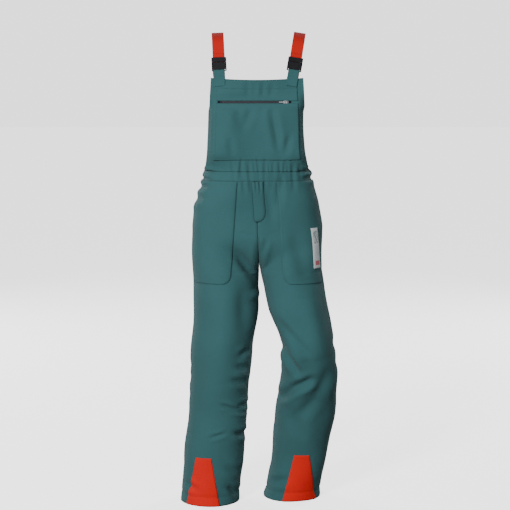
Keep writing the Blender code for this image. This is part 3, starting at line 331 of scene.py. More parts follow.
@dataclass(frozen=True)
class Fold:
    """A valley in the cloth along a line seen from the front, with a ridge beside it."""

    start: Spot
    end: Spot
    width: float
    depth: float
    ridge: float = 0.5

    def at(self, x: Array, height: Array) -> Array:
        """Return how far the cloth moves outward at these places (inward is negative)."""
        dx, dz = self.end[0] - self.start[0], self.end[1] - self.start[1]
        length = math.hypot(dx, dz)
        along = ((x - self.start[0]) * dx + (height - self.start[1]) * dz) / length
        aside = ((x - self.start[0]) * dz - (height - self.start[1]) * dx) / length / self.width
        middle = np.clip(along / length, 0.0, 1.0)
        past = np.maximum(np.maximum(-along, along - length), 0.0) / self.width
        taper = np.exp(-past * past) * (0.25 + 0.75 * np.sin(math.pi * middle) ** 0.7)
        valley = -np.exp(-aside * aside)
        banks = self.ridge * (np.exp(-((aside - 1.7) ** 2)) + np.exp(-((aside + 1.7) ** 2)))
        return self.depth * taper * (valley + banks)


GATHER_WIDTH = 0.0048


@dataclass(frozen=True)
class Gathers:
    """Small upright folds that elastic draws up along a seam."""

    low_x: float
    high_x: float
    height: float
    up: float
    down: float
    count: int
    depth: float
    seed: int

    def folds(self) -> list[Fold]:
        """Return one fold for each gather, spaced and sized unevenly."""
        draw = random.Random(self.seed)
        made = []
        for i in range(self.count):
            x = self.low_x + (self.high_x - self.low_x) * (i + draw.uniform(0.2, 0.8)) / self.count
            lean = draw.uniform(-0.006, 0.006)
            top = self.height + self.up * draw.uniform(0.5, 1.0)
            bottom = self.height - self.down * draw.uniform(0.45, 1.0)
            depth = self.depth * draw.uniform(0.5, 1.0)
            width = GATHER_WIDTH * draw.uniform(0.7, 1.5)
            made.append(Fold((x + lean, top), (x - lean, bottom), width, depth, 0.6))
        return made


@dataclass(frozen=True)
class Drape:
    """Everything that moves the cloth off the plain body: the folds seen from the front and from the back."""

    front: tuple[Fold, ...]
    back: tuple[Fold, ...]
    sway: float = 0.0007
    gain: float = 1.7

    def relief(self, points: Array, normals: Array) -> Array:
        """Return how far each point moves along its normal.

        Args:
            points: The points' places.
            normals: Their outward normals.

        Returns:
            One distance for each point.
        """
        x, y, z = points[..., 0], points[..., 1], points[..., 2]
        moved = self.sway * (np.sin(31 * x + 17 * z + 9 * y) + np.sin(-23 * x + 41 * z - 13 * y + 1.3))
        facing = smooth((0.35 - normals[..., 1]) / 0.7)
        for folds, share in ((self.front, facing), (self.back, 1 - facing)):
            for fold in folds:
                moved = moved + share * fold.at(x, z)
        return moved * self.gain


# ---------------------------------------------------------------- finishes


class Graph:
    """A node tree and the few nodes that the finishes are made of."""

    def __init__(self, tree: bpy.types.NodeTree) -> None:
        """Keep the tree."""
        self.tree = tree

    def add(self, kind: str, **settings: object) -> bpy.types.Node:
        """Return a new node with its properties set."""
        node = self.tree.nodes.new(kind)
        for key, value in settings.items():
            setattr(node, key, value)
        return node

    def feed(self, socket: bpy.types.NodeSocket, value: Feed) -> None:
        """Link an output to a socket, or set the socket's own number or colour."""
        if isinstance(value, bpy.types.NodeSocket):
            self.tree.links.new(value, socket)
        elif isinstance(value, tuple):
            socket.default_value = (*value, 1.0)
        else:
            socket.default_value = value

    def shade(self, **inputs: Feed) -> None:
        """Feed the shader's sockets, named with _ for each space."""
        for name, value in inputs.items():
            self.feed(self.tree.nodes["Principled BSDF"].inputs[name.replace("_", " ")], value)

    def mix(self, share: Feed, first: Feed, second: Feed) -> Output:
        """Return a mix of two colours or outputs, by the second one's share."""
        node = self.add("ShaderNodeMix", data_type="RGBA")
        for socket, value in zip((node.inputs[0], node.inputs[6], node.inputs[7]), (share, first, second)):
            self.feed(socket, value)
        return node.outputs[2]

    def math(self, operation: str, *values: Feed) -> Output:
        """Return the output of a sum on outputs and numbers."""
        node = self.add("ShaderNodeMath", operation=operation)
        for socket, value in zip(node.inputs, values):
            self.feed(socket, value)
        return node.outputs[0]

    def both(self, *values: Feed) -> Output:
        """Return the product of outputs and numbers."""
        product = values[0]
        for value in values[1:]:
            product = self.math("MULTIPLY", product, value)
        return product

    def noise(self, vector: Output, scale: float, detail: float = 3.0) -> Output:
        """Return the value output of a noise over this vector."""
        node = self.add("ShaderNodeTexNoise")
        for name, value in (("Scale", scale), ("Detail", detail), ("Vector", vector)):
            self.feed(node.inputs[name], value)
        return node.outputs["Fac"]

    def bump(self, height: Output, distance: float, strength: float) -> Output:
        """Return the normal output of a bump of this height."""
        node = self.add("ShaderNodeBump")
        for name, value in (("Distance", distance), ("Strength", strength), ("Height", height)):
            self.feed(node.inputs[name], value)
        return node.outputs["Normal"]


@dataclass(frozen=True)
class Finish:
    """A named finish, which is made into one material."""

    name: str

    def material(self) -> Material:
        """Return the finish as a material, made once."""
        found = bpy.data.materials.get(self.name)
        if found:
            return found
        material = bpy.data.materials.new(self.name)
        material.use_nodes = True
        self.paint(Graph(material.node_tree))
        return material

    def paint(self, graph: Graph) -> None:
        """Set up the finish's nodes."""
        raise NotImplementedError


@dataclass(frozen=True)
class ClothFinish(Finish):
    """A woven cloth: its two thread colours, its weave and its sheen."""

    slot: str
    colour: Colour
    shade: Colour
    weave: Weave
    thread: float
    roughness: float = 0.86
    sheen: float = 0.06
    mottle: float = 0.35
    relief: float = 0.00022
    mapped: bool = True

    def threads(self, graph: Graph, along: Output) -> Output:
        """Return the height of the threads over the cloth's own coordinates."""
        spread = graph.add("ShaderNodeMapping")
        spread.inputs["Scale"].default_value = (1 / self.thread, 1 / self.thread, 1.0)
        graph.feed(spread.inputs["Vector"], along)
        directions = {
            Weave.TWILL: ("DIAGONAL", "X"),
            Weave.PLAIN: ("X", "Y"),
            Weave.RIBBED: ("X", "DIAGONAL"),
        }
        waves = []
        for direction, share in zip(directions[self.weave], (1.0, 0.5)):
            wave = graph.add("ShaderNodeTexWave", bands_direction=direction)
            pitch = WAVE_PER_THREAD * (share if self.weave is Weave.RIBBED else 1.0)
            for name, value in (("Scale", pitch), ("Distortion", 0.25), ("Detail Scale", 0.2)):
                graph.feed(wave.inputs[name], value)
            graph.feed(wave.inputs["Vector"], spread.outputs[0])
            waves.append(wave.outputs["Fac"])
        weight = 0.35 if self.weave is Weave.TWILL else 0.5
        return graph.math("ADD", graph.both(waves[1], weight), waves[0])

    def paint(self, graph: Graph) -> None:
        """Set up the threads, the blotches of wear and the sheen."""
        places = graph.add("ShaderNodeTexCoord").outputs
        threads = self.threads(graph, places["UV" if self.mapped else "Object"])
        broad = graph.noise(places["Object"], 7.0)
        fine = graph.noise(places["Object"], 420.0)
        blotch = graph.both(graph.math("ADD", broad, fine), self.mottle)
        woven = graph.mix(graph.both(threads, 0.45), self.shade, self.colour)
        lighter = tuple(min(c * 1.45 + 0.004, 1.0) for c in self.colour)
        height = graph.math("ADD", threads, graph.both(fine, 0.8))
        graph.shade(
            Base_Color=graph.mix(blotch, woven, lighter),
            Roughness=self.roughness,
            Sheen_Weight=self.sheen,
            Sheen_Roughness=0.55,
            Specular_IOR_Level=0.08,
            Normal=graph.bump(height, self.relief, 0.7),
        )


@dataclass(frozen=True)
class PlasticFinish(Finish):
    """Satin moulded plastic with a fine grain and rubbed patches."""

    colour: Colour
    rubbed: Colour

    def paint(self, graph: Graph) -> None:
        """Set up the patches and the grain."""
        places = graph.add("ShaderNodeTexCoord").outputs["Object"]
        patches = graph.noise(places, 95.0, 4.0)
        graph.shade(
            Base_Color=graph.mix(patches, self.colour, self.rubbed),
            Specular_IOR_Level=0.12,
            Roughness=graph.math("MULTIPLY_ADD", patches, 0.20, 0.30),
            Normal=graph.bump(graph.noise(places, 2600.0, 2.0), 0.00012, 0.6),
        )


@dataclass(frozen=True)
class MetalFinish(Finish):
    """Plated metal with fine rubbing marks."""

    colour: Colour
    dull: Colour
    roughness: float

    def paint(self, graph: Graph) -> None:
        """Set up the rubbing marks."""
        wear = graph.noise(graph.add("ShaderNodeTexCoord").outputs["Object"], 700.0, 4.0)
        graph.shade(
            Base_Color=graph.mix(wear, self.colour, self.dull),
            Metallic=1.0,
            Roughness=graph.math("MULTIPLY_ADD", wear, 0.2, self.roughness),
            Normal=graph.bump(wear, 0.00005, 0.5),
        )


@dataclass(frozen=True)
class LabelFinish(Finish):
    """A pale printed label: a mottled grey-green field above, lines, and a small red block below."""

    width: float
    length: float
    slot: str = "label_print"
    ground: Colour = (0.60, 0.64, 0.66)
    print_colour: Colour = (0.035, 0.11, 0.095)
    block_colour: Colour = (0.50, 0.045, 0.07)
    margin: float = 0.12
    field_span: Spot = (0.62, 0.94)
    lines_span: Spot = (0.30, 0.58)
    block_span: Spot = (0.08, 0.19)
    line_turn: float = 1570.0

    def band(self, graph: Graph, value: Output, span: Spot, size: float) -> Output:
        """Return 1 where the value lies in a span, given as shares of a size, and 0 elsewhere."""
        low, high = span
        above = graph.math("GREATER_THAN", value, low * size)
        return graph.both(above, graph.math("LESS_THAN", value, high * size))

    def paint(self, graph: Graph) -> None:
        """Set up the printed field, the lines and the block."""
        places = graph.add("ShaderNodeTexCoord").outputs["UV"]
        split = graph.add("ShaderNodeSeparateXYZ")
        graph.feed(split.inputs[0], places)
        across, up = split.outputs[0], split.outputs[1]
        inside = self.band(graph, across, (self.margin, 1 - self.margin), self.width)
        patch = graph.math("GREATER_THAN", graph.noise(places, 160.0, 1.5), 0.47)
        stripe = graph.math("GREATER_THAN", graph.math("SINE", graph.both(up, self.line_turn)), 0.5)
        marks = graph.both(self.band(graph, up, self.field_span, self.length), patch, inside)
        lines = graph.both(self.band(graph, up, self.lines_span, self.length), stripe, inside)
        block = graph.both(self.band(graph, up, self.block_span, self.length), inside)
        printed: Feed = self.ground
        for shape, strength, colour in (
            (marks, 0.75, self.print_colour),
            (lines, 0.30, self.print_colour),
            (block, 0.85, self.block_colour),
        ):
            printed = graph.mix(graph.both(shape, strength), printed, colour)
        graph.shade(
            Base_Color=printed,
            Roughness=0.62,
            Normal=graph.bump(graph.noise(places, 2200.0, 1.0), 0.00008, 0.6),
        )


@dataclass(frozen=True)
class PaperFinish(Finish):
    """The studio's pale paper, which glows a little."""

    colour: Colour
    glow: float

    def paint(self, graph: Graph) -> None:
        """Set up the paper's faint clouding and its glow."""
        places = graph.add("ShaderNodeTexCoord").outputs["Object"]
        lighter = tuple(min(c * 1.03, 1.0) for c in self.colour)
        graph.shade(
            Base_Color=graph.mix(graph.noise(places, 3.0), self.colour, lighter),
            Roughness=0.9,
            Emission_Color=(1.0, 1.0, 1.0),
            Emission_Strength=self.glow,
        )


TWILL, PLAIN, RIBBED = Weave
TEAL = ClothFinish("teal twill", "teal_cloth", (0.037, 0.112, 0.119), (0.019, 0.063, 0.067), TWILL, 0.0007)
# The same teal twill made darker for the layers inside (hem bands, bib facing, back yoke): painted shade, not
# a different cloth.
TEAL_PAINTED_SHADE = ClothFinish(
    "teal twill with painted shade", "teal_cloth", (0.020, 0.070, 0.071), (0.010, 0.040, 0.042), TWILL, 0.0007
)
LINER = ClothFinish(
    "dark lining", "lining_cloth", (0.050, 0.075, 0.080), (0.028, 0.042, 0.045), PLAIN, 0.0009
)
PADDING = ClothFinish(
    "undyed fibre pad", "saw_pad", (0.66, 0.63, 0.54), (0.44, 0.42, 0.36), PLAIN, 0.0022, relief=0.0006
)
SIGNAL = ClothFinish(
    "signal red cloth", "signal_cloth", (0.78, 0.018, 0.010), (0.58, 0.009, 0.005), PLAIN, 0.0007, mottle=0.12
)
BRACE_WEB = ClothFinish(
    "red brace webbing", "webbing", (0.62, 0.018, 0.010), (0.36, 0.008, 0.005), RIBBED, 0.0016, mottle=0.1
)
ELASTIC = ClothFinish("waist elastic", "elastic", (0.55, 0.55, 0.52), (0.36, 0.36, 0.34), RIBBED, 0.0020)
ZIP_TAPE = ClothFinish(
    "zip tape", "zip_tape", (0.010, 0.013, 0.026), (0.005, 0.006, 0.014), RIBBED, 0.0008, mottle=0.1
)
THREAD = ClothFinish(
    "sewing thread", "teal_cloth", (0.026, 0.082, 0.083), (0.016, 0.050, 0.052), TWILL, 0.0004, mapped=False
)
RED_THREAD = ClothFinish(
    "red sewing thread",
    "signal_cloth",
    (0.50, 0.012, 0.008),
    (0.34, 0.008, 0.006),
    TWILL,
    0.0004,
    mapped=False,
)
BUCKLE_BLACK = PlasticFinish("buckle black", (0.003, 0.003, 0.005), (0.007, 0.007, 0.010))
# The zip chain's grey metal, darkened to near black as painted shade where the pocket's lips and the fly
# cover shade it.
CHAIN_PAINTED_SHADE = MetalFinish("zip chain gunmetal", (0.050, 0.050, 0.056), (0.025, 0.025, 0.030), 0.42)
SLIDER_SILVER = MetalFinish("zip slider silver", (0.36, 0.37, 0.39), (0.12, 0.125, 0.135), 0.34)


# ---------------------------------------------------------------- making cloth and stitches


def grid_normals(points: Array, outward: Array) -> Array:
    """Return unit normals of a grid, on the side that the outward directions point to."""
    normal = np.cross(np.gradient(points, axis=1), np.gradient(points, axis=0))
    normal /= np.maximum(np.linalg.norm(normal, axis=2, keepdims=True), 1e-12)
    side = np.sign((normal * outward).sum(axis=2).mean()) or 1.0
    return normal * side


def from_axis(points: Array) -> Array:
    """Return directions away from each row's middle, level with it."""
    middle = (points.min(axis=1, keepdims=True) + points.max(axis=1, keepdims=True)) / 2
    away = points - middle
    away[..., 2] = 0.0
    return away


def edge_reach(points: Array) -> tuple[Array, Array, Array, Array]:
    """Return each point's distance to its grid's start, end, bottom and top edges, along the grid."""
    across = np.linalg.norm(np.diff(points, axis=1), axis=2)
    across = np.concatenate([np.zeros((len(points), 1)), np.cumsum(across, axis=1)], axis=1)
    up = np.linalg.norm(np.diff(points, axis=0), axis=2)
    up = np.concatenate([np.zeros((1, points.shape[1])), np.cumsum(up, axis=0)], axis=0)
    return across, across[:, -1:] - across, up, up[-1:] - up


PUFF_REACH = 0.03
EDGE_STITCH = 0.0022
SECOND_STITCH = 0.0075

# The edges of a cloth's grid, in the order of edge_reach: its first and last column, its first and last row.
OUTER, INNER, BOTTOM, TOP = range(4)
AHEAD = np.array([0.0, -1.0, 0.0])
BEHIND = np.array([0.0, 1.0, 0.0])


@dataclass
class Cloth:
    """A made sheet of cloth: its object and its outer face."""

    obj: Object
    points: Array
    normals: Array
    reach: tuple[Array, Array, Array, Array]

    def line(self, start: Spot, end: Spot, count: int = 60) -> tuple[Array, Array]:
        """Return places and normals along a straight line over the sheet's own grid.

        Args:
            start: The first place, as shares of the way across and up.
            end: The last place.
            count: How many places.

        Returns:
            The places, and the outward normals there.
        """
        rows, columns = self.points.shape[:2]
        across = np.linspace(start[0], end[0], count) * (columns - 1)
        up = np.linspace(start[1], end[1], count) * (rows - 1)
        c = np.clip(across.astype(int), 0, columns - 2)
        r = np.clip(up.astype(int), 0, rows - 2)
        s, t = (across - c)[:, None], (up - r)[:, None]
        found = []
        for grid in (self.points, self.normals):
            low = grid[r, c] * (1 - s) + grid[r, c + 1] * s
            high = grid[r + 1, c] * (1 - s) + grid[r + 1, c + 1] * s
            found.append(low * (1 - t) + high * t)
        return found[0], found[1]

    def beside(self, edge: int, distance: float, low: float = 0.0, high: float = 1.0) -> tuple[Array, Array]:
        """Return places and normals along a line a set distance inside one edge.

        Args:
            edge: Which edge: OUTER, INNER, BOTTOM or TOP.
            distance: How far inside that edge the line runs.
            low: Where along the edge it starts, as a share.
            high: Where it stops.

        Returns:
            The places, and the outward normals there.
        """
        lines = self.points.shape[0 if edge in (OUTER, INNER) else 1]
        picked = range(int(low * (lines - 1)), int(high * (lines - 1)) + 1)
        places, normals = [], []
        for i in picked:
            if edge in (OUTER, INNER):
                run, way, out = self.reach[edge][i], self.points[i], self.normals[i]
            else:
                run, way, out = self.reach[edge][:, i], self.points[:, i], self.normals[:, i]
            order = np.argsort(run)
            places.append(at_lengths(distance, run[order], way[order]))
            normals.append(at_lengths(distance, run[order], out[order]))
        return np.array(places), np.array(normals)


@dataclass(frozen=True)
class ClothCut:
    """How a sheet of cloth is made and what it stands for."""

    name: str
    finish: ClothFinish | LabelFinish
    replaced: tuple[str, ...]
    thickness: float = CLOTH
    lift: float = 0.0
    held: str = "hung"
    rests_on: tuple[str, ...] = ()
    sunk: tuple[int, ...] = ()
    sink: float = 0.0016
    sink_width: float = 0.0035
    puff: float = 0.0
    body: str = "garment"
    kind: Kind = Kind.SHEET
    offset: float = -1.0

    def make(self, points: Array, outward: Array, relief: Relief | None = None) -> Cloth:
        """Args:
            points: The grid in heights above the hem, row by row.
            outward: Directions that point out of the garment there.
            relief: Gives how far each point moves outward.

        Returns:
            The cloth.
        """
        rows, columns = points.shape[:2]
        normals = grid_normals(points, outward)
        reach = edge_reach(points)
        moved = np.full(points.shape[:2], self.lift)
        if relief is not None:
            moved = moved + relief(points, normals)
        for edge in self.sunk:
            moved = moved - self.sink * np.exp(-((reach[edge] / self.sink_width) ** 2))
        if self.puff:
            near = np.minimum.reduce([reach[edge] for edge in self.sunk])
            moved = moved + self.puff * smooth(near / PUFF_REACH)
        shaped = points + normals * moved[..., None]
        shaped[..., 2] -= SHOULDER_HEIGHT
        width, length = float(reach[INNER][:, 0].max()), float(reach[TOP][0].max())
        mesh = bmesh.new()
        layer = mesh.loops.layers.uv.new("Cloth")
        bmesh.ops.create_grid(mesh, x_segments=columns - 1, y_segments=rows - 1, size=0.5, calc_uvs=True)
        mesh.verts.ensure_lookup_table()
        for vert, place in zip(mesh.verts, points.reshape(-1, 3)):
            vert.co = place
        area = sum(face.calc_area() for face in mesh.faces)
        for vert, place in zip(mesh.verts, shaped.reshape(-1, 3)):
            vert.co = place
        for face in mesh.faces:
            face.smooth = True
            for loop in face.loops:
                loop[layer].uv = (loop[layer].uv[0] * width, loop[layer].uv[1] * length)
        mesh.normal_update()
        middle = rows // 2 * columns + columns // 2
        if mesh.verts[middle].normal.dot(Vector(normals.reshape(-1, 3)[middle])) < 0:
            bmesh.ops.reverse_faces(mesh, faces=mesh.faces)
        obj = add_piece(self.name, mesh, self.finish, self.body, self.replaced)
        solid = obj.modifiers.new("Thickness", "SOLIDIFY")
        solid.thickness = self.thickness
        solid.offset = self.offset
        if self.kind is Kind.PADDED:
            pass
        elif self.kind is Kind.SHEET:
            area = min(area, width * length)
        return Cloth(obj, shaped, normals, reach)


def add_piece(
    name: str,
    mesh: bmesh.types.BMesh,
    finish: ClothFinish | LabelFinish,
    body: str,
    replaced: Iterable[str] = (),
) -> Object:
    """Turn a bmesh into a finished piece that rides on a body.

    Args:
        name: The piece's name.
        mesh: Its shape; it is freed here.
        finish: Its finish, which gives the piece its material.
        body: The body it moves with, or an empty name for a piece that rides on none.
        replaced: The frame's nodes that it stands for.

    Returns:
        The piece.
    """
    data = bpy.data.meshes.new(name)
    mesh.to_mesh(data)
    mesh.free()
    data.materials.append(finish.material())
    obj = bpy.data.objects.new(name, data)
    bpy.context.scene.collection.objects.link(obj)
    if body:
        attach(obj, body)
    if replaced:
        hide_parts(*replaced)
    LOG.info("%s: %d faces on %s", name, len(data.polygons), body)
    return obj


@dataclass
class Stitching:
    """Sewn lines: each stitch is a short thread pressed into the cloth."""

    name: str
    finish: ClothFinish = THREAD
    pitch: float = 0.0036
    stitch: float = 0.0027
    thread: float = 0.00055
    proud: float = 0.15
    paths: list[tuple[Array, Array]] = field(default_factory=list)

    def add(self, path: tuple[Array, Array]) -> None:
        """Keep one line to sew."""
        self.paths.append(path)

    def along(
        self, cloth: Cloth, edges: Iterable[int], *distances: float, low: float = 0.0, high: float = 1.0
    ) -> None:
        """Keep a line beside each of a cloth's edges, at each distance inside it.

        Args:
            cloth: The cloth that is sewn.
            edges: Its edges, numbered as Cloth.beside has them.
            distances: How far inside the edges the lines run.
            low: Where along each edge a line starts, as a share.
            high: Where it stops.
        """
        for edge in edges:
            for distance in distances:
                self.add(cloth.beside(edge, distance, low, high))

    def sew(self) -> Object:
        """Return all the stitches as one piece."""
        mesh = bmesh.new()
        seed = bmesh.new()
        bmesh.ops.create_icosphere(seed, subdivisions=1, radius=0.5)
        data = bpy.data.meshes.new("stitch")
        for face in seed.faces:
            face.smooth = True
        seed.to_mesh(data)
        seed.free()
        corners = np.array([v.co for v in data.vertices])
        count = 0
        for places, normals in self.paths:
            length = run_lengths(places)
            for i in range(int(length[-1] / self.pitch)):
                middle = self.pitch * (i + 0.5)
                at = Vector(at_lengths(middle, length, places))
                ahead = Vector(at_lengths(middle + self.stitch / 2, length, places))
                out = Vector(at_lengths(middle, length, normals)).normalized()
                along = (ahead - at).normalized()
                aside = out.cross(along).normalized()
                frame_of = Matrix((along, aside, out)).transposed()
                place = Matrix.Translation(at + out * self.thread * self.proud) @ frame_of.to_4x4()
                place @= Matrix.Diagonal((self.stitch, self.thread, self.thread, 1.0))
                data.transform(place)
                mesh.from_mesh(data)
                data.vertices.foreach_set("co", corners.ravel())
                count += 1
        bpy.data.meshes.remove(data)
        LOG.info("%s: %d stitches", self.name, count)
        return add_piece(self.name, mesh, self.finish, "garment")


# ---------------------------------------------------------------- the folds of this garment

FRONT_FOLDS = (
    Fold((-0.068, 0.816), (-0.003, 0.722), 0.013, 0.0045),
    Fold((-0.056, 0.484), (-0.026, 0.500), 0.010, 0.0030),
    Fold((-0.064, 0.452), (-0.030, 0.440), 0.010, 0.0032),
    Fold((-0.080, 0.410), (-0.033, 0.392), 0.011, 0.0036),
    Fold((-0.112, 0.328), (-0.036, 0.299), 0.0065, 0.0048),
    Fold((-0.090, 0.309), (-0.030, 0.290), 0.0055, 0.0036),
    Fold((-0.148, 0.221), (-0.100, 0.235), 0.006, 0.0030),
    Fold((-0.070, 0.236), (-0.025, 0.212), 0.010, 0.0055),
    Fold((-0.062, 0.322), (-0.022, 0.312), 0.009, 0.0040),
    Fold((-0.020, 0.675), (0.012, 0.671), 0.013, -0.0040, 0.3),
    Fold((-0.046, 0.700), (-0.040, 0.560), 0.020, 0.0035, 0.3),
    Fold((-0.105, 0.690), (-0.100, 0.400), 0.040, -0.0060, 0.1),
    Fold((-0.175, 0.560), (-0.185, 0.250), 0.028, 0.0030, 0.3),
    Fold((-0.092, 0.060), (-0.060, 0.030), 0.010, 0.0050),
    Fold((-0.225, 0.070), (-0.190, 0.050), 0.010, 0.0035),
    Fold((-0.100, 0.125), (-0.060, 0.100), 0.012, 0.0026),
    Fold((0.070, 0.522), (0.132, 0.430), 0.011, 0.0065),
    Fold((0.176, 0.418), (0.107, 0.379), 0.013, 0.0080),
    Fold((0.112, 0.382), (0.070, 0.336), 0.012, 0.0065),
    Fold((0.162, 0.670), (0.186, 0.480), 0.036, -0.0075, 0.0),
    Fold((0.062, 0.600), (0.162, 0.496), 0.011, 0.0026),
    Fold((0.098, 0.555), (0.140, 0.470), 0.020, -0.0050, 0.1),
    Fold((0.226, 0.441), (0.183, 0.353), 0.020, 0.0050),
    Fold((0.183, 0.353), (0.130, 0.288), 0.020, 0.0040),
    Fold((0.110, 0.300), (0.150, 0.210), 0.020, 0.0030),
    Fold((0.112, 0.870), (0.150, 0.735), 0.024, 0.0045, 0.3),
    Fold((0.050, 0.055), (0.095, 0.075), 0.012, 0.0035),
    Fold((0.006, 0.840), (0.008, 0.740), 0.011, 0.0060, 0.3),
    Fold((0.018, 0.800), (0.029, 0.850), 0.008, 0.0026),
    Fold((-0.061, 0.872), (-0.012, 0.862), 0.0028, 0.0011, 0.3),
    Fold((0.026, 0.862), (0.068, 0.874), 0.0028, 0.0011, 0.3),
    Fold((-0.205, 1.055), (-0.130, 1.052), 0.0075, 0.0045),
    Fold((-0.210, 1.030), (-0.140, 1.036), 0.0080, 0.0042),
    Fold((-0.215, 0.998), (-0.150, 1.012), 0.0100, 0.0045),
    Fold((-0.225, 0.955), (-0.165, 0.978), 0.0120, 0.0045),
    Fold((0.205, 1.062), (0.130, 1.058), 0.0065, 0.0035),
    Fold((0.205, 1.032), (0.140, 1.036), 0.0080, 0.0034),
    Fold((0.035, 1.020), (0.045, 0.900), 0.013, 0.0028, 0.3),
    Fold((0.072, 1.040), (0.060, 0.940), 0.012, 0.0030, 0.3),
    Fold((0.044, 1.250), (0.071, 1.110), 0.012, 0.0040, 0.3),
    Fold((0.098, 1.168), (0.085, 1.110), 0.011, 0.0034, 0.3),
    Fold((-0.057, 1.250), (-0.052, 1.188), 0.014, 0.0022, 0.3),
    Fold((-0.020, 1.248), (-0.042, 1.186), 0.012, 0.0020, 0.3),
    Fold((-0.086, 1.162), (-0.073, 1.110), 0.012, 0.0022, 0.3),
    Fold((-0.028, 1.334), (-0.022, 1.250), 0.010, 0.0014, 0.4),
    Fold((-0.006, 1.330), (-0.009, 1.262), 0.008, 0.0011, 0.5),
    Fold((0.019, 1.334), (0.016, 1.238), 0.009, 0.0015, 0.5),
    Fold((0.045, 1.326), (0.038, 1.270), 0.011, 0.0012, 0.4),
    Fold((-0.088, 1.290), (-0.090, 1.100), 0.048, -0.0075, 0.0),
    Fold((0.128, 1.290), (0.135, 1.080), 0.040, 0.0035, 0.0),
    *Gathers(-0.078, 0.120, 1.0585, 0.044, 0.070, 13, 0.0021, 4).folds(),
    *Gathers(0.120, 0.165, 1.0585, 0.030, 0.030, 4, 0.0016, 6).folds(),
)

BACK_FOLDS = (
    Fold((-0.150, 0.800), (-0.010, 0.740), 0.016, 0.0050),
    Fold((0.160, 0.800), (0.020, 0.740), 0.016, 0.0050),
    Fold((-0.120, 0.960), (-0.100, 0.840), 0.030, 0.0040),
    Fold((0.120, 0.960), (0.100, 0.840), 0.030, 0.0040),
    Fold((-0.215, 0.440), (-0.040, 0.465), 0.014, 0.0045),
    Fold((-0.215, 0.400), (-0.040, 0.405), 0.014, 0.0045),
    Fold((-0.220, 0.345), (-0.050, 0.330), 0.014, 0.0040),
    Fold((0.080, 0.500), (0.250, 0.520), 0.014, 0.0080),
    Fold((0.080, 0.462), (0.250, 0.455), 0.014, 0.0080),
    Fold((0.085, 0.425), (0.250, 0.395), 0.014, 0.0060),
    Fold((0.070, 0.250), (0.220, 0.210), 0.016, 0.0040),
    Fold((0.060, 0.110), (0.200, 0.080), 0.016, 0.0040),
    Fold((-0.230, 0.120), (-0.070, 0.085), 0.016, 0.0040),
    *Gathers(-0.160, 0.160, 1.045, 0.040, 0.060, 24, 0.0034, 9).folds(),
)

ZIP_CLEAR = 0.009
ZIP_FADE = 0.022
TOP_FADE = 0.012


@dataclass(frozen=True)
class BibDrape(Drape):
    """The drape over the bib, calm where the zip and the buckle tabs lie."""

    def relief(self, points: Array, normals: Array) -> Array:
        """Return how far each point moves along its normal, easing to nothing beside the zip."""
        moved = super().relief(points, normals)
        z = points[..., 2]
        beside_zip = smooth((np.abs(z - CHEST_ZIP_HEIGHT) - ZIP_CLEAR) / ZIP_FADE)
        return moved * beside_zip * smooth((BIB_TOP_HEIGHT - z) / TOP_FADE)


DRAPE = Drape(FRONT_FOLDS, BACK_FOLDS)
BIB_DRAPE = BibDrape(FRONT_FOLDS, BACK_FOLDS, 0.0005)


# ---------------------------------------------------------------- sub-assemblies


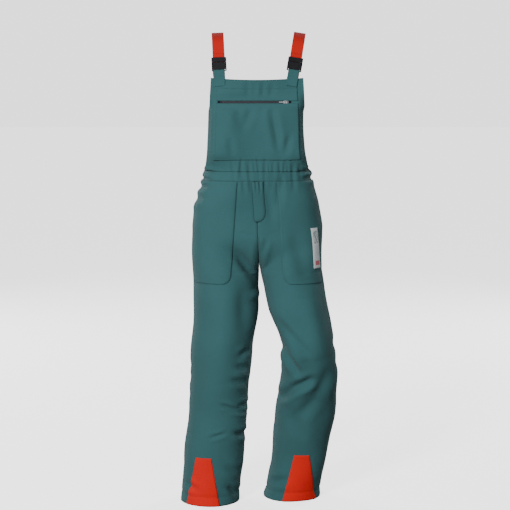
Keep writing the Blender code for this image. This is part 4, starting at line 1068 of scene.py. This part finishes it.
@dataclass
class TrouserLeg:
    """One leg from hem to waistband: shell panels, hem, saw pad, lining, hip pocket and red hem wedge."""

    side: Side
    columns: int = 66
    rows: int = 200
    fly_half: float = 0.0075
    hem_width: float = 0.030
    hem_dip: float = 0.0016
    hem_dip_width: float = 0.004
    pad_top: float = 0.945
    pad_edge: float = 0.014
    pad_notch: float = 0.130
    quilt_pitch: float = 0.09
    quilt_dip: float = 0.0010
    loose: float = 0.0015
    flare: float = 0.006
    shelter: float = 0.4
    seam_stitch: float = 0.005
    centre_seam: Spot = (0.74, 0.88)
    pocket_bottom: float = 0.712
    pocket_top_x: float = 0.060
    pocket_bottom_x: float = 0.082
    pocket_corner: float = 0.028
    wedge_height: float = 0.155
    wedge_widths: Spot = (0.104, 0.048)
    wedge_middles: dict[Side, Spot] = field(
        default_factory=lambda: {Side.RIGHT: (0.1700, 0.1675), Side.LEFT: (0.1340, 0.1420)}
    )

    def relief(self, points: Array, normals: Array) -> Array:
        """Return the drape with the hem's flare and the dip along its stitched line."""
        z = points[..., 2]
        moved = DRAPE.relief(points, normals)
        waves = 0.6 + 0.4 * np.sin(34 * points[..., 0])
        moved = moved + self.flare * (1 - smooth(z / self.hem_width)) * waves
        return moved - self.hem_dip * np.exp(-(((z - self.hem_width) / self.hem_dip_width) ** 2))

    def sheltered(self, points: Array, normals: Array) -> Array:
        """Return the drape of the layers inside, which keep a little further in wherever the shell folds."""
        moved = self.relief(points, normals)
        return moved - self.shelter * np.abs(moved)

    def shell(self) -> None:
        """Make the front and back panels, which meet in sunk seams."""
        word = self.side.word
        heights = leg_levels(self.rows)
        above_crotch, below_fly = self.centre_seam
        stitches = Stitching(f"{word}_leg_stitching")
        for face in Face:
            name = f"{word}_leg_{face.name.lower()}"
            front = face is Face.FRONT
            grid = body_grid(self.side, face, heights, self.columns, trim=self.fly_trim if front else None)
            cut = ClothCut(f"{name}_cloth", TEAL, (name,), rests_on=("waistband_front",), sunk=(OUTER, INNER))
            cloth = cut.make(grid, from_axis(grid), self.relief)
            stitches.along(cloth, (BOTTOM,), self.hem_width)
            edge, low = (OUTER, 0.0) if front else (INNER, above_crotch)
            stitches.along(cloth, (edge,), self.seam_stitch, low=low)
            if front:
                stitches.along(cloth, (INNER,), self.seam_stitch, low=above_crotch, high=below_fly)
        stitches.sew()

    def fly_trim(self, height: float) -> float:
        """Return how far the front panel stops short of the centre seam."""
        return self.fly_half if height >= FLY_BOTTOM_HEIGHT else 0.0

    def insides(self) -> None:
        """Make the turned hem, the quilted saw pad and the lining."""
        word = self.side.word
        hem_inset = CLOTH + LAYER_GAP
        pad_inset = hem_inset + self.loose
        lining_inset = pad_inset + PAD_THICKNESS + self.loose
        for face in Face:
            part = face.name.lower()
            hem, lining = (0.0004, self.hem_width), (self.hem_width + LAYER_GAP, CROTCH_HEIGHT - 0.001)
            self.inside(f"{word}_hem_band_{part}", face, hem_inset, hem, TEAL_PAINTED_SHADE, LIGHT_CLOTH)
            self.inside(f"{word}_lining_{part}", face, lining_inset, lining, LINER, LINING)
        heights = leg_levels(90, self.hem_width + LAYER_GAP, self.pad_top)
        grid = body_grid(self.side, Face.FRONT, heights, 40, pad_inset, trim=self.pad_trim)
        node = f"{word}_saw_pad"
        cut = ClothCut(f"{node}_quilt", PADDING, (node,), PAD_THICKNESS - 0.0008, kind=Kind.PADDED)
        cut.make(grid, from_axis(grid), self.quilted)

    def pad_trim(self, height: float) -> float:
        """Return how far the saw pad stops short of the centre seam: furthest beside the crotch."""
        return self.pad_edge + self.pad_notch * math.exp(-(((height - CROTCH_HEIGHT) / 0.036) ** 2))

    def quilted(self, points: Array, normals: Array) -> Array:
        """Return the saw pad's drape, which dips along its level sewn lines."""
        sewn = np.exp(-((np.sin(points[..., 2] * math.pi / self.quilt_pitch) / 0.12) ** 2))
        return self.sheltered(points, normals) - self.quilt_dip * sewn

    def inside(
        self, name: str, face: Face, inset: float, levels: Spot, finish: ClothFinish, thick: float
    ) -> None:
        """Make one inner layer that follows the shell.

        Args:
            name: The piece's name.
            face: Front or back.
            inset: How far inside the shell's outer face it lies.
            levels: Its lowest and highest height.
            finish: Its finish.
            thick: Its thickness.
        """
        rows = max(int((levels[1] - levels[0]) / 0.009), 5)
        grid = body_grid(self.side, face, leg_levels(rows, *levels), 40, inset)
        hem = "hem_band" in name
        node = f"{self.side.word}_{'hem_band' if hem else 'leg_lining'}"
        cut = ClothCut(name, finish, (node,), thick, rests_on=(f"{self.side.word}_leg_front",))
        cut.make(grid, from_axis(grid), self.relief if hem else self.sheltered)

    def pocket_span(self, height: float) -> Spot:
        """Return the hip pocket's outer and inner distance from the middle plane at this height."""
        share = (height - self.pocket_bottom) / (BAND_BOTTOM_HEIGHT - self.pocket_bottom)
        inner = self.pocket_bottom_x + (self.pocket_top_x - self.pocket_bottom_x) * share
        above = min(height - self.pocket_bottom, self.pocket_corner) / self.pocket_corner
        inner += self.pocket_corner * (1 - math.sqrt(max(1 - (1 - above) ** 2, 0.0)))
        return abs(leg_section(self.side, height)[0]) * 0.985, inner

    def wedge_span(self, height: float) -> Spot:
        """Return the hem wedge's outer and inner distance from the middle plane at this height."""
        share = height / self.wedge_height
        low, high = self.wedge_middles[self.side]
        middle = low + (high - low) * share
        half = (self.wedge_widths[0] + (self.wedge_widths[1] - self.wedge_widths[0]) * share) / 2
        return middle + half, middle - half

    def patches(self) -> None:
        """Make the hip pocket and the red wedge, sewn on the front panel."""
        word = self.side.word
        on_front = (f"{word}_leg_front",)
        heights = np.concatenate([
            np.linspace(self.pocket_bottom, self.pocket_bottom + self.pocket_corner, 14)[:-1],
            np.linspace(self.pocket_bottom + self.pocket_corner, BAND_BOTTOM_HEIGHT - 0.0003, 64),
        ])
        grid = body_grid(self.side, Face.FRONT, heights, 34, span=self.pocket_span)
        node = f"{word}_hip_pocket"
        cut = ClothCut(
            f"{node}_cloth",
            TEAL,
            (node,),
            LIGHT_CLOTH,
            lift=0.0030,
            held="laid",
            rests_on=on_front,
            sunk=(OUTER, INNER, BOTTOM),
            sink=0.0009,
            sink_width=0.005,
            puff=0.0010,
        )
        pocket = cut.make(grid, from_axis(grid), self.relief)
        stitches = Stitching(f"{word}_pocket_stitching")
        stitches.along(pocket, (INNER, BOTTOM), EDGE_STITCH, SECOND_STITCH)
        stitches.sew()

        heights = list(np.linspace(0.0003, self.wedge_height, 40))
        grid = body_grid(self.side, Face.FRONT, heights, 26, span=self.wedge_span)
        node = f"{word}_hem_patch"
        cut = ClothCut(
            f"{node}_cloth",
            SIGNAL,
            (node,),
            LIGHT_CLOTH,
            lift=0.0024,
            held="laid",
            rests_on=on_front,
            sunk=(OUTER, INNER, TOP),
            sink=0.0008,
            sink_width=0.002,
        )
        wedge = cut.make(grid, from_axis(grid), self.relief)
        stitches = Stitching(f"{word}_wedge_stitching", RED_THREAD)
        stitches.along(wedge, (OUTER, INNER, TOP), EDGE_STITCH)
        stitches.along(wedge, (BOTTOM,), self.hem_width)
        stitches.sew()

    def build(self) -> None:
        """Make the whole leg."""
        self.shell()
        self.insides()
        self.patches()


@dataclass
class ThighLabel:
    """The narrow printed label on the left hip pocket."""

    seen_width: float = 0.0185
    width: float = 0.031
    length: float = 0.126
    middle_height: float = 0.820
    lift: float = 0.0052
    bottom_x: float = 0.1835
    top_x: float = 0.1715
    edge_stitch: float = 0.0012
    thickness: float = 0.0006

    def span(self, height: float) -> Spot:
        """Return the label's outer and inner distance from the middle plane at this height."""
        share = (height - self.middle_height) / self.length + 0.5
        middle = self.bottom_x + (self.top_x - self.bottom_x) * share
        return middle + self.seen_width / 2, middle - self.seen_width / 2

    def build(self) -> None:
        """Make the label and its sewn edge."""
        low = self.middle_height - self.length / 2
        heights = list(np.linspace(low, low + self.length, 40))
        grid = body_grid(Side.LEFT, Face.FRONT, heights, 12, span=self.span)
        finish = LabelFinish("printed label", self.width, self.length)
        nodes, under = ("thigh_label",), ("left_hip_pocket",)
        cut = ClothCut("thigh_label_print", finish, nodes, self.thickness, self.lift, "laid", under)
        label = cut.make(grid, from_axis(grid), DRAPE.relief)
        stitches = Stitching("label_stitching")
        stitches.along(label, (OUTER, INNER, BOTTOM, TOP), self.edge_stitch)
        stitches.sew()


@dataclass
class Waist:
    """The waistband in front and behind, with the elastic inside its back."""

    columns: int = 90
    rows: int = 14
    elastic_drop: float = 0.0065
    elastic_gap: float = 0.0026
    sink: float = 0.0030
    top_stitch: float = 0.005
    bottom_stitch: float = 0.003

    def ring(self, face: Face, low: float, high: float, rows: int, inset: float = 0.0) -> Array:
        """Return a grid from the right side seam round one face to the left side seam."""
        heights = list(np.linspace(low, high, rows))
        right = body_grid(Side.RIGHT, face, heights, self.columns // 2, inset)
        left = body_grid(Side.LEFT, face, heights, self.columns // 2, inset)
        return np.concatenate([right, left[:, ::-1][:, 1:]], axis=1)

    def build(self) -> None:
        """Make the bands and the elastic."""
        stitches = Stitching("waist_stitching")
        for face in Face:
            node = f"waistband_{face.name.lower()}"
            outward = AHEAD if face is Face.FRONT else BEHIND
            grid = self.ring(face, BAND_BOTTOM_HEIGHT, WAIST_SEAM_HEIGHT, self.rows)
            settings = {"held": "gathered", "rests_on": ("bib_front",), "sunk": (TOP,), "sink": self.sink}
            cut = ClothCut(f"{node}_cloth", TEAL, (node,), **settings)
            band = cut.make(grid, outward, DRAPE.relief)
            stitches.along(band, (TOP,), self.top_stitch)
            stitches.along(band, (BOTTOM,), self.bottom_stitch)
        stitches.sew()
        low, high = BAND_BOTTOM_HEIGHT + LAYER_GAP, WAIST_SEAM_HEIGHT - self.elastic_drop
        grid = self.ring(Face.BACK, low, high, 8, CLOTH + self.elastic_gap)
        settings = {"held": "gathered", "rests_on": ("waistband_back",)}
        cut = ClothCut("waist_elastic_band", ELASTIC, ("waist_elastic",), LIGHT_CLOTH, **settings)
        cut.make(grid, BEHIND, DRAPE.relief)


@dataclass
class Bib:
    """The bib with its facing, its zipped chest pocket, and the back panel."""

    flat_share: float = 0.86
    wrap: float = 0.030
    blend_height: float = 0.060
    flatten_height: float = 0.090
    dip: float = 0.006
    hem: float = 0.029
    pocket_bottom: float = 1.094
    zip_half: float = 0.0037
    pocket_lift: float = 0.0025
    back_half_widths: Spot = (0.150, 0.098)
    overlap: float = 0.0012
    edge_stitch: float = 0.004
    side_stitch: float = 0.010
    yoke_depth: float = 0.055

    def half_width(self, height: float) -> float:
        """Return the bib's half width at this height."""
        climb = (height - WAIST_SEAM_HEIGHT) / (BIB_TOP_HEIGHT - WAIST_SEAM_HEIGHT)
        return monotone_curve(BIB_HALF_WIDTHS, climb)

    def row(self, height: float, low: float, high: float, columns: int) -> Array:
        """Return one row of the bib's outer points between two shares of its half width."""
        across = np.linspace(low, high, columns)
        x = across * self.half_width(height)
        edge = np.maximum(np.abs(across) - self.flat_share, 0.0) / (1 - self.flat_share)
        above = height - BIB_TOP_HEIGHT + self.hem + self.flatten_height
        flattening = float(smooth(above / self.flatten_height))
        flat_y = BIB_Y + self.wrap * (1 - flattening) * edge**1.5
        reach = np.minimum(np.abs(x) / WAIST_HALF_WIDTH, 1.0)
        waist_y = WAIST_SIDE_Y + (FRONT_Y - WAIST_SIDE_Y) * (1 - reach**SQUARENESS) ** (1 / SQUARENESS)
        weight = float(smooth((height - WAIST_SEAM_HEIGHT) / self.blend_height))
        top = float(smooth((height - CHEST_ZIP_HEIGHT) / (BIB_TOP_HEIGHT - CHEST_ZIP_HEIGHT)))
        z = height - self.dip * (1 - across * across) * top
        return np.column_stack([x, waist_y + (flat_y - waist_y) * weight, z])

    def grid(self, low: float, high: float, rows: int, columns: int, reach: float = 1.0) -> Array:
        """Return a grid over the bib between two heights."""
        return np.array([self.row(float(z), -reach, reach, columns) for z in np.linspace(low, high, rows)])

    def front(self) -> None:
        """Make the bib, its facing, and the pocket's panel and yoke."""
        hangs = ("right_bib_tab", "left_bib_tab")
        grid = self.grid(WAIST_SEAM_HEIGHT - self.overlap, BIB_TOP_HEIGHT, 84, 96)
        cut = ClothCut("bib_front_cloth", TEAL, ("bib_front",), rests_on=hangs)
        bib = cut.make(grid, AHEAD, BIB_DRAPE.relief)
        stitches = Stitching("bib_stitching")
        stitches.along(bib, (TOP,), self.hem, self.edge_stitch)
        stitches.along(bib, (OUTER, INNER), self.side_stitch, low=0.04, high=0.98)
        facing = self.grid(BIB_TOP_HEIGHT - self.hem, BIB_TOP_HEIGHT, 10, 60, 0.97 * self.flat_share)
        facing[..., 1] += CLOTH + LAYER_GAP
        cut = ClothCut("bib_facing_cloth", TEAL_PAINTED_SHADE, ("bib_facing",), LIGHT_CLOTH, rests_on=("bib_front",))
        cut.make(facing, AHEAD, BIB_DRAPE.relief)

        lower = (self.pocket_bottom, CHEST_ZIP_HEIGHT - self.zip_half)
        upper = (CHEST_ZIP_HEIGHT + self.zip_half, BIB_TOP_HEIGHT - self.hem)
        for part, node, levels, rows, sunk in (
            ("panel", "chest_pocket_panel", lower, 60, (OUTER, INNER, BOTTOM)),
            ("yoke", "chest_pocket_yoke", upper, 18, (OUTER, INNER, TOP)),
        ):
            grid = self.grid(*levels, rows, 84, self.flat_share)
            on_bib = (self.pocket_lift, "laid", ("bib_front",), sunk, 0.0011, 0.003)
            cut = ClothCut(f"{node}_cloth", TEAL, (node,), LIGHT_CLOTH, *on_bib)
            made = cut.make(grid, AHEAD, BIB_DRAPE.relief)
            stitches.along(made, sunk, 0.0024)
            stitches.along(made, (TOP if part == "panel" else BOTTOM,), 0.0020)
        stitches.sew()

    def back_row(self, height: float, columns: int, share: float = 1.0) -> Array:
        """Return one row of the back panel's outer points."""
        low, high = self.back_half_widths
        climb = (height - WAIST_SEAM_HEIGHT) / (BACK_PANEL_TOP_HEIGHT - WAIST_SEAM_HEIGHT)
        half = (low + (high - low) * math.sin(climb * math.pi / 2)) * share
        body_half, side_y, back_y = torso_section(height)
        x = np.linspace(-half, half, columns)
        depth = (1 - np.minimum(np.abs(x) / body_half, 1.0) ** SQUARENESS) ** (1 / SQUARENESS)
        return np.column_stack([x, side_y + (back_y - side_y) * depth, np.full(columns, height)])

    def back(self) -> None:
        """Make the back panel and the yoke inside its top."""
        heights = np.linspace(WAIST_SEAM_HEIGHT - self.overlap, BACK_PANEL_TOP_HEIGHT, 52)
        grid = np.array([self.back_row(float(z), 72) for z in heights])
        cut = ClothCut("back_panel_cloth", TEAL, ("back_panel",), rests_on=("waistband_back",))
        panel = cut.make(grid, BEHIND, DRAPE.relief)
        stitches = Stitching("back_panel_stitching")
        stitches.along(panel, (TOP,), self.edge_stitch, self.yoke_depth)
        stitches.along(panel, (OUTER, INNER), 0.008)
        stitches.sew()
        heights = np.linspace(BACK_PANEL_TOP_HEIGHT - self.yoke_depth, BACK_PANEL_TOP_HEIGHT - LAYER_GAP, 14)
        grid = np.array([self.back_row(float(z), 50, 0.95) for z in heights])
        nodes, lift = ("back_yoke",), -CLOTH - LAYER_GAP
        cut = ClothCut("back_yoke_cloth", TEAL_PAINTED_SHADE, nodes, LIGHT_CLOTH, lift, rests_on=("back_panel",))
        cut.make(grid, BEHIND, DRAPE.relief)

    def build(self) -> None:
        """Make the bib and the back panel."""
        self.front()
        self.back()


@dataclass
class Zips:
    """The chest pocket's zip and the fly's, with their tapes, the fly's cover and its shield."""

    tape_width: float = 0.012
    tape_thickness: float = 0.0007
    gap: float = 0.0003
    chest_left: float = -0.108
    chest_right: float = 0.092
    chest_extra: float = 0.012
    fly_length: float = 0.104
    fly_extra: float = 0.006
    fly_bottom: float = 0.914
    cover_edges: Spot = (-0.0085, 0.0285)
    cover_rise: float = 0.0058
    cover_corner: float = 0.034
    cover_fade: float = 0.004
    cover_foot: float = 0.22
    cover_crown: float = 0.7
    shield_margin: float = 0.0012

    def homes(self) -> dict[str, tuple[Matrix, float, float, tuple[str, str]]]:
        """Return each zip's place, length, spare tape and the names of its two halves."""
        chest_y = BIB_Y - self.gap - self.tape_thickness
        chest = Matrix.Translation((self.chest_left, chest_y, CHEST_ZIP_HEIGHT))
        top_x, bottom_x = front_seam_x(BAND_BOTTOM_HEIGHT), front_seam_x(self.fly_bottom)
        lean = math.atan2(top_x - bottom_x, BAND_BOTTOM_HEIGHT - self.fly_bottom)
        fly = Matrix.Translation((bottom_x, FRONT_Y + CLOTH + LAYER_GAP, self.fly_bottom))
        fly = fly @ Matrix.Rotation(lean, 4, "Y") @ Matrix.Rotation(-math.pi / 2, 4, "Y")
        length = self.chest_right - self.chest_left
        return {
            "chest": (chest, length, self.chest_extra, ("upper", "lower")),
            "fly": (fly, self.fly_length, self.fly_extra, ("right", "left")),
        }

    def tapes(self) -> None:
        """Make the four woven tapes."""
        for name, (home, length, extra, halves) in self.homes().items():
            for half, sign in zip(halves, (1.0, -1.0)):
                rows = []
                for across in np.linspace(self.gap, self.gap + self.tape_width, 7):
                    run = np.linspace(-extra, length + extra, 70)
                    rows.append([home @ Vector((along, 0.0, sign * across)) for along in run])
                node = f"{name}_zip_tape_{half}"
                grid = np.array(rows, float)
                cut = ClothCut(f"{node}_weave", ZIP_TAPE, (node,), self.tape_thickness, held="stretched")
                cut.make(grid, AHEAD)

    def fly_front(self) -> None:
        """Make the arched cover over the fly zip and the shield behind it."""
        free, sewn = self.cover_edges
        share = np.linspace(0.0, 1.0, 34)
        rows = []
        for z in np.linspace(FLY_BOTTOM_HEIGHT, BAND_BOTTOM_HEIGHT - LAYER_GAP, 56):
            above = min((z - FLY_BOTTOM_HEIGHT) / self.cover_corner, 1.0)
            corner = math.sqrt(1 - (1 - above) ** 2)
            reach = free + (sewn - free) * (self.cover_foot + (1 - self.cover_foot) * corner)
            lift = self.cover_rise * float(smooth((z - FLY_BOTTOM_HEIGHT) / self.cover_fade))
            x = front_seam_x(float(z)) + free + (reach - free) * share
            rise = lift * np.cos(share * math.pi / 2) ** self.cover_crown + LAYER_GAP + LIGHT_CLOTH
            rows.append(np.column_stack([x, FRONT_Y - rise, np.full(34, z)]))
        settings = {"held": "laid", "rests_on": ("left_leg_front",), "sunk": (INNER,), "sink": 0.0012}
        cut = ClothCut("fly_cover_cloth", TEAL, ("fly_cover",), LIGHT_CLOTH, **settings)
        cover = cut.make(np.array(rows), AHEAD, DRAPE.relief)
        stitches = Stitching("fly_stitching")
        stitches.along(cover, (INNER,), 0.0018, 0.0060, low=0.02)
        stitches.sew()
        half = self.tape_width + self.shield_margin
        behind = FRONT_Y + CLOTH + 2 * LAYER_GAP + self.tape_thickness
        rows = []
        low, high = FLY_BOTTOM_HEIGHT + self.shield_margin, BAND_BOTTOM_HEIGHT - self.shield_margin
        for z in np.linspace(low, high, 24):
            x = front_seam_x(float(z)) + np.linspace(-half, half, 9)
            rows.append(np.column_stack([x, np.full(9, behind), np.full(9, z)]))
        nodes = ("fly_shield",)
        cut = ClothCut("fly_shield_cloth", LINER, nodes, LIGHT_CLOTH, rests_on=("waistband_front",))
        cut.make(np.array(rows), AHEAD)

    def metal(self) -> None:
        """Give the chains, stops, sliders and pullers their metal."""
        for name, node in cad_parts.items():
            # Chains and bottom stops take the metal darkened as painted shade.
            if "_zip_teeth" in name or "_bottom_stop" in name:
                dress(node, CHAIN_PAINTED_SHADE.material())
            elif "_zip_slider" in name or "_zip_puller" in name or "_stop" in name:
                dress(node, SLIDER_SILVER.material())

    def build(self) -> None:
        """Make the tapes and covers and dress the metal."""
        self.tapes()
        self.fly_front()
        self.metal()


def dress(node: Object, material: Material) -> None:
    """Give a frame node's slots one finish."""
    for place in node.material_slots:
        place.material = material
    LOG.info("%s: dressed with %s", node.name, material.name)


@dataclass
class Brace:
    """One brace: bib tab, side-release buckle and ribbed webbing over the shoulder."""

    side: Side
    webbing_width: float = 0.0365
    webbing_thickness: float = 0.002
    tab_width: float = 0.034
    tab_thickness: float = 0.0015
    slack: float = 0.0003
    bar_half_depth: float = 0.0011
    bar_bottom: float = 0.0355
    plug_top: float = 0.0400
    tail_top: float = 0.0520
    lead: float = 0.0145
    spread: float = 0.050
    hidden_drop: float = 0.012
    back_top_y: float = 0.112
    shoulder_back_y: float = 0.118
    buckle_height: float = 1.3660
    tab_fold: tuple[Spot, ...] = (
        (-0.00205, -0.048),
        (-0.00215, -0.030),
        (-0.0030, -0.014),
        (-0.00365, -0.003),
        (-0.0032, 0.0014),
        (-0.0017, 0.0026),
    )
    buckle_x: dict[Side, float] = field(default_factory=lambda: {Side.RIGHT: -0.1145, Side.LEFT: 0.1115})
    tilt_deg: dict[Side, float] = field(default_factory=lambda: {Side.RIGHT: 2.5, Side.LEFT: 9.0})

    def place(self) -> Matrix:
        """Return the buckle's place: its bottom centre, tilted outward."""
        tilt = math.radians(self.tilt_deg[self.side]) * self.side.value
        at = (self.buckle_x[self.side], BIB_Y + CLOTH / 2, self.buckle_height)
        return Matrix.Translation(at) @ Matrix.Rotation(tilt, 4, "Y")

    def ribbon(self, path: Array, width: float, columns: int) -> Array:
        """Return a strap's grid: one row at each place of its path."""
        aside = np.array(self.place().to_3x3() @ Vector((1.0, 0.0, 0.0)))
        across = np.linspace(-width / 2, width / 2, columns)
        return path[:, None, :] + aside[None, None, :] * across[None, :, None]

    def webbing_path(self) -> Array:
        """Return the webbing's middle line: its tail, round the bar, over the shoulder and down the back."""
        place = self.place()
        reach = self.bar_half_depth + self.slack + self.webbing_thickness / 2
        turn_z = self.bar_bottom - self.slack
        local = [(0, -reach, self.tail_top), (0, -reach, (self.tail_top + turn_z) / 2), (0, -reach, turn_z)]
        for i in range(1, 8):
            angle = math.pi * i / 8
            local.append((0, -reach * math.cos(angle), turn_z - reach * math.sin(angle)))
        local += [(0, reach, turn_z), (0, reach, self.plug_top), (0, reach, self.tail_top + self.lead)]
        front = [place @ Vector(point) for point in local]
        start, up = front[-1], place.to_3x3() @ Vector((0, 0, 1))
        height = SHOULDER_HEIGHT + self.webbing_thickness / 2
        back_y = self.shoulder_back_y
        run = [(start.y, start.z), (start.y + 0.010, start.z + 0.024), (start.y + 0.036, height - 0.009)]
        run += [(start.y + 0.085, height), (back_y - 0.070, height - 0.004), (back_y - 0.026, height - 0.028)]
        run += [(back_y - 0.004, height - 0.075), (back_y, BIB_TOP_HEIGHT - self.hidden_drop)]
        over = []
        for y, z in run:
            outward = 1 + self.spread * (y - start.y) / (back_y - start.y)
            over.append(((start.x + up.x / up.z * (z - start.z)) * outward, y, z))
        end_x = self.side.value * (0.098 - self.webbing_width / 2)
        over.append((end_x, self.back_top_y - CLOTH, BACK_PANEL_TOP_HEIGHT + LAYER_GAP))
        over.append((end_x, self.back_top_y - CLOTH, BACK_PANEL_TOP_HEIGHT - 0.030))
        return np.concatenate([np.array([tuple(p) for p in front[:-1]]), smooth_path(np.array(over), 14)])

    def webbing(self) -> None:
        """Make the webbing, which runs from the buckle to the back panel."""
        word = self.side.word
        path = self.webbing_path()
        grid = self.ribbon(path, self.webbing_width, 25)
        across = np.linspace(-1.0, 1.0, 25)
        ribs = 0.00012 * np.cos(across * math.pi * 6) - 0.0003 * np.abs(across) ** 12
        node = f"{word}_brace_webbing"
        settings = {"body": "", "kind": Kind.STRAP, "offset": 0.0}
        cut = ClothCut(f"{node}_ribbed", BRACE_WEB, (node,), self.webbing_thickness, **settings)
        up_front = np.array([0.0, -1.0, 0.6])
        strap = cut.make(grid, up_front, lambda points, normals: np.tile(ribs, (len(points), 1)))
        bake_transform(strap.obj)

    def tab(self) -> None:
        """Make the bib tab: a folded strip through the buckle, sewn to both faces of the bib's top."""
        word = self.side.word
        local = [(0.0, y, z) for y, z in self.tab_fold] + [(0.0, -y, z) for y, z in reversed(self.tab_fold)]
        path = smooth_path(np.array(local), 5)
        place = self.place()
        points = np.array([tuple(place @ Vector(p)) for p in path])
        grid = self.ribbon(points, self.tab_width, 13)
        node = f"{word}_bib_tab"
        settings = {"held": "folded", "rests_on": ("bib_front",), "offset": 0.0}
        cut = ClothCut(f"{node}_cloth", TEAL, (node,), self.tab_thickness, **settings)
        tab = cut.make(grid, np.array([0.0, -1.0, 0.3]))
        stitches = Stitching(f"{word}_tab_stitching")
        rows = len(points)
        top, bottom = 18 / rows, 1 / rows
        for start, end in (((0.08, bottom), (0.92, bottom)), ((0.08, top * 0.5), (0.92, top * 0.5))):
            stitches.add(self.front_of(tab.line(start, end)))
        for s in (0.08, 0.92):
            stitches.add(self.front_of(tab.line((s, bottom), (s, top))))
        stitches.sew()

    def front_of(self, path: tuple[Array, Array]) -> tuple[Array, Array]:
        """Return a sewn line moved from the strap's middle to its outer face."""
        return path[0] + AHEAD * self.tab_thickness / 2, np.tile(AHEAD, (len(path[0]), 1))

    def build(self) -> None:
        """Make the webbing and the tab, and dress the buckle."""
        self.webbing()
        self.tab()
        word = self.side.word
        for part in ("buckle_socket", "buckle_plug", "outer_prong", "inner_prong"):
            dress(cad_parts[f"{word}_{part}"], BUCKLE_BLACK.material())


def smooth_path(points: Array, samples: int) -> Array:
    """Return a Catmull-Rom curve through the points.

    Args:
        points: The points it passes through.
        samples: How many places it has between two of them.

    Returns:
        The curve's places.
    """
    padded = np.concatenate([points[:1], points, points[-1:]])
    share = np.linspace(0.0, 1.0, samples, endpoint=False)[:, None]
    path = []
    for i in range(1, len(padded) - 2):
        p0, p1, p2, p3 = padded[i - 1 : i + 3]
        bend = (p2 - p0) * share + (2 * p0 - 5 * p1 + 4 * p2 - p3) * share**2
        path.append(0.5 * (2 * p1 + bend + (3 * p1 - p0 - 3 * p2 + p3) * share**3))
    return np.concatenate([*path, points[-1:]])


# ---------------------------------------------------------------- studio


@dataclass
class Studio:
    """A pale floor that melts into white surroundings, soft lights, and the camera."""

    floor: Colour = (0.88, 0.88, 0.88)
    glow: float = 2.0
    ambient: float = 0.17
    half_width: float = 30.0
    floor_drop: float = 0.0005
    camera_place: Place = (-0.0063, -5.0, -0.0912)
    camera_aim: Place = (-0.0063, 0.0, -0.6913)
    lens: float = 112.85

    def backdrop(self) -> None:
        """Make the wide, even floor."""
        mesh = bmesh.new()
        bmesh.ops.create_grid(mesh, x_segments=4, y_segments=4, size=self.half_width)
        bmesh.ops.translate(mesh, verts=mesh.verts, vec=(0.0, 0.0, -SHOULDER_HEIGHT - self.floor_drop))
        for face in mesh.faces:
            face.smooth = True
        data = bpy.data.meshes.new("studio_floor")
        mesh.to_mesh(data)
        mesh.free()
        data.materials.append(PaperFinish("pale studio paper", self.floor, self.glow).material())
        floor = bpy.data.objects.new("studio_floor", data)
        floor.visible_diffuse = False
        floor.visible_glossy = False
        bpy.context.scene.collection.objects.link(floor)

    def light(self, name: str, place: Place, aim: Place, size: Spot, power: float) -> None:
        """Add one soft rectangular light.

        Args:
            name: Its name.
            place: Where it stands.
            aim: What it points at.
            size: Its width and height.
            power: Its power in watts.
        """
        data = bpy.data.lights.new(name, "AREA")
        data.shape = "RECTANGLE"
        data.size, data.size_y = size
        data.energy = power
        lamp = bpy.data.objects.new(name, data)
        lamp.location = place
        lamp.rotation_mode = "QUATERNION"
        lamp.rotation_quaternion = (Vector(aim) - Vector(place)).to_track_quat("-Z", "Y")
        bpy.context.scene.collection.objects.link(lamp)

    def surroundings(self) -> None:
        """Make the even white surroundings, dimmer as light than as a backdrop."""
        world = bpy.data.worlds.new("studio white")
        bpy.context.scene.world = world
        world.use_nodes = True
        graph, tree = Graph(world.node_tree), world.node_tree
        either = graph.add("ShaderNodeMixShader")
        graph.feed(either.inputs["Fac"], graph.add("ShaderNodeLightPath").outputs["Is Camera Ray"])
        shades = (tree.nodes["Background"], graph.add("ShaderNodeBackground"))
        for socket, shade, strength in zip(either.inputs[1:3], shades, (self.ambient, self.glow)):
            graph.feed(shade.inputs["Color"], (1.0, 1.0, 1.0))
            graph.feed(shade.inputs["Strength"], strength)
            graph.feed(socket, shade.outputs["Background"])
        graph.feed(tree.nodes["World Output"].inputs["Surface"], either.outputs["Shader"])

    def camera(self) -> None:
        """Add the camera."""
        data = bpy.data.cameras.new("view")
        data.lens = self.lens
        data.sensor_width = 36.0
        data.clip_end = 60.0
        camera = bpy.data.objects.new("view", data)
        camera.location = self.camera_place
        camera.rotation_mode = "QUATERNION"
        aim = Vector(self.camera_aim) - Vector(self.camera_place)
        camera.rotation_quaternion = aim.to_track_quat("-Z", "Y")
        bpy.context.scene.collection.objects.link(camera)
        bpy.context.scene.camera = camera

    def build(self) -> None:
        """Set up the whole studio."""
        self.camera()
        self.backdrop()
        self.surroundings()
        self.light("key", (-1.8, -4.0, 0.9), (0.0, 0.0, -0.75), (0.9, 1.4), 235.0)
        self.light("front fill", (0.1, -4.4, -1.0), (0.05, 0.0, -1.05), (0.6, 0.6), 30.0)
        for name, x in (("right rim", -2.8), ("left rim", 2.8)):
            self.light(name, (x, 3.4, 0.7), (0.0, 0.0, -0.7), (1.4, 2.4), 130.0)


def main() -> None:
    """Build the studio and then the garment, from the legs up."""
    logging.basicConfig(level=logging.INFO, format="%(name)s %(message)s")
    Studio().build()
    parts: list[object] = [TrouserLeg(side) for side in Side]
    parts += [ThighLabel(), Waist(), Bib(), Zips()]
    parts += [Brace(side) for side in Side]
    for part in parts:
        part.build()


if __name__ == "__main__":
    main()
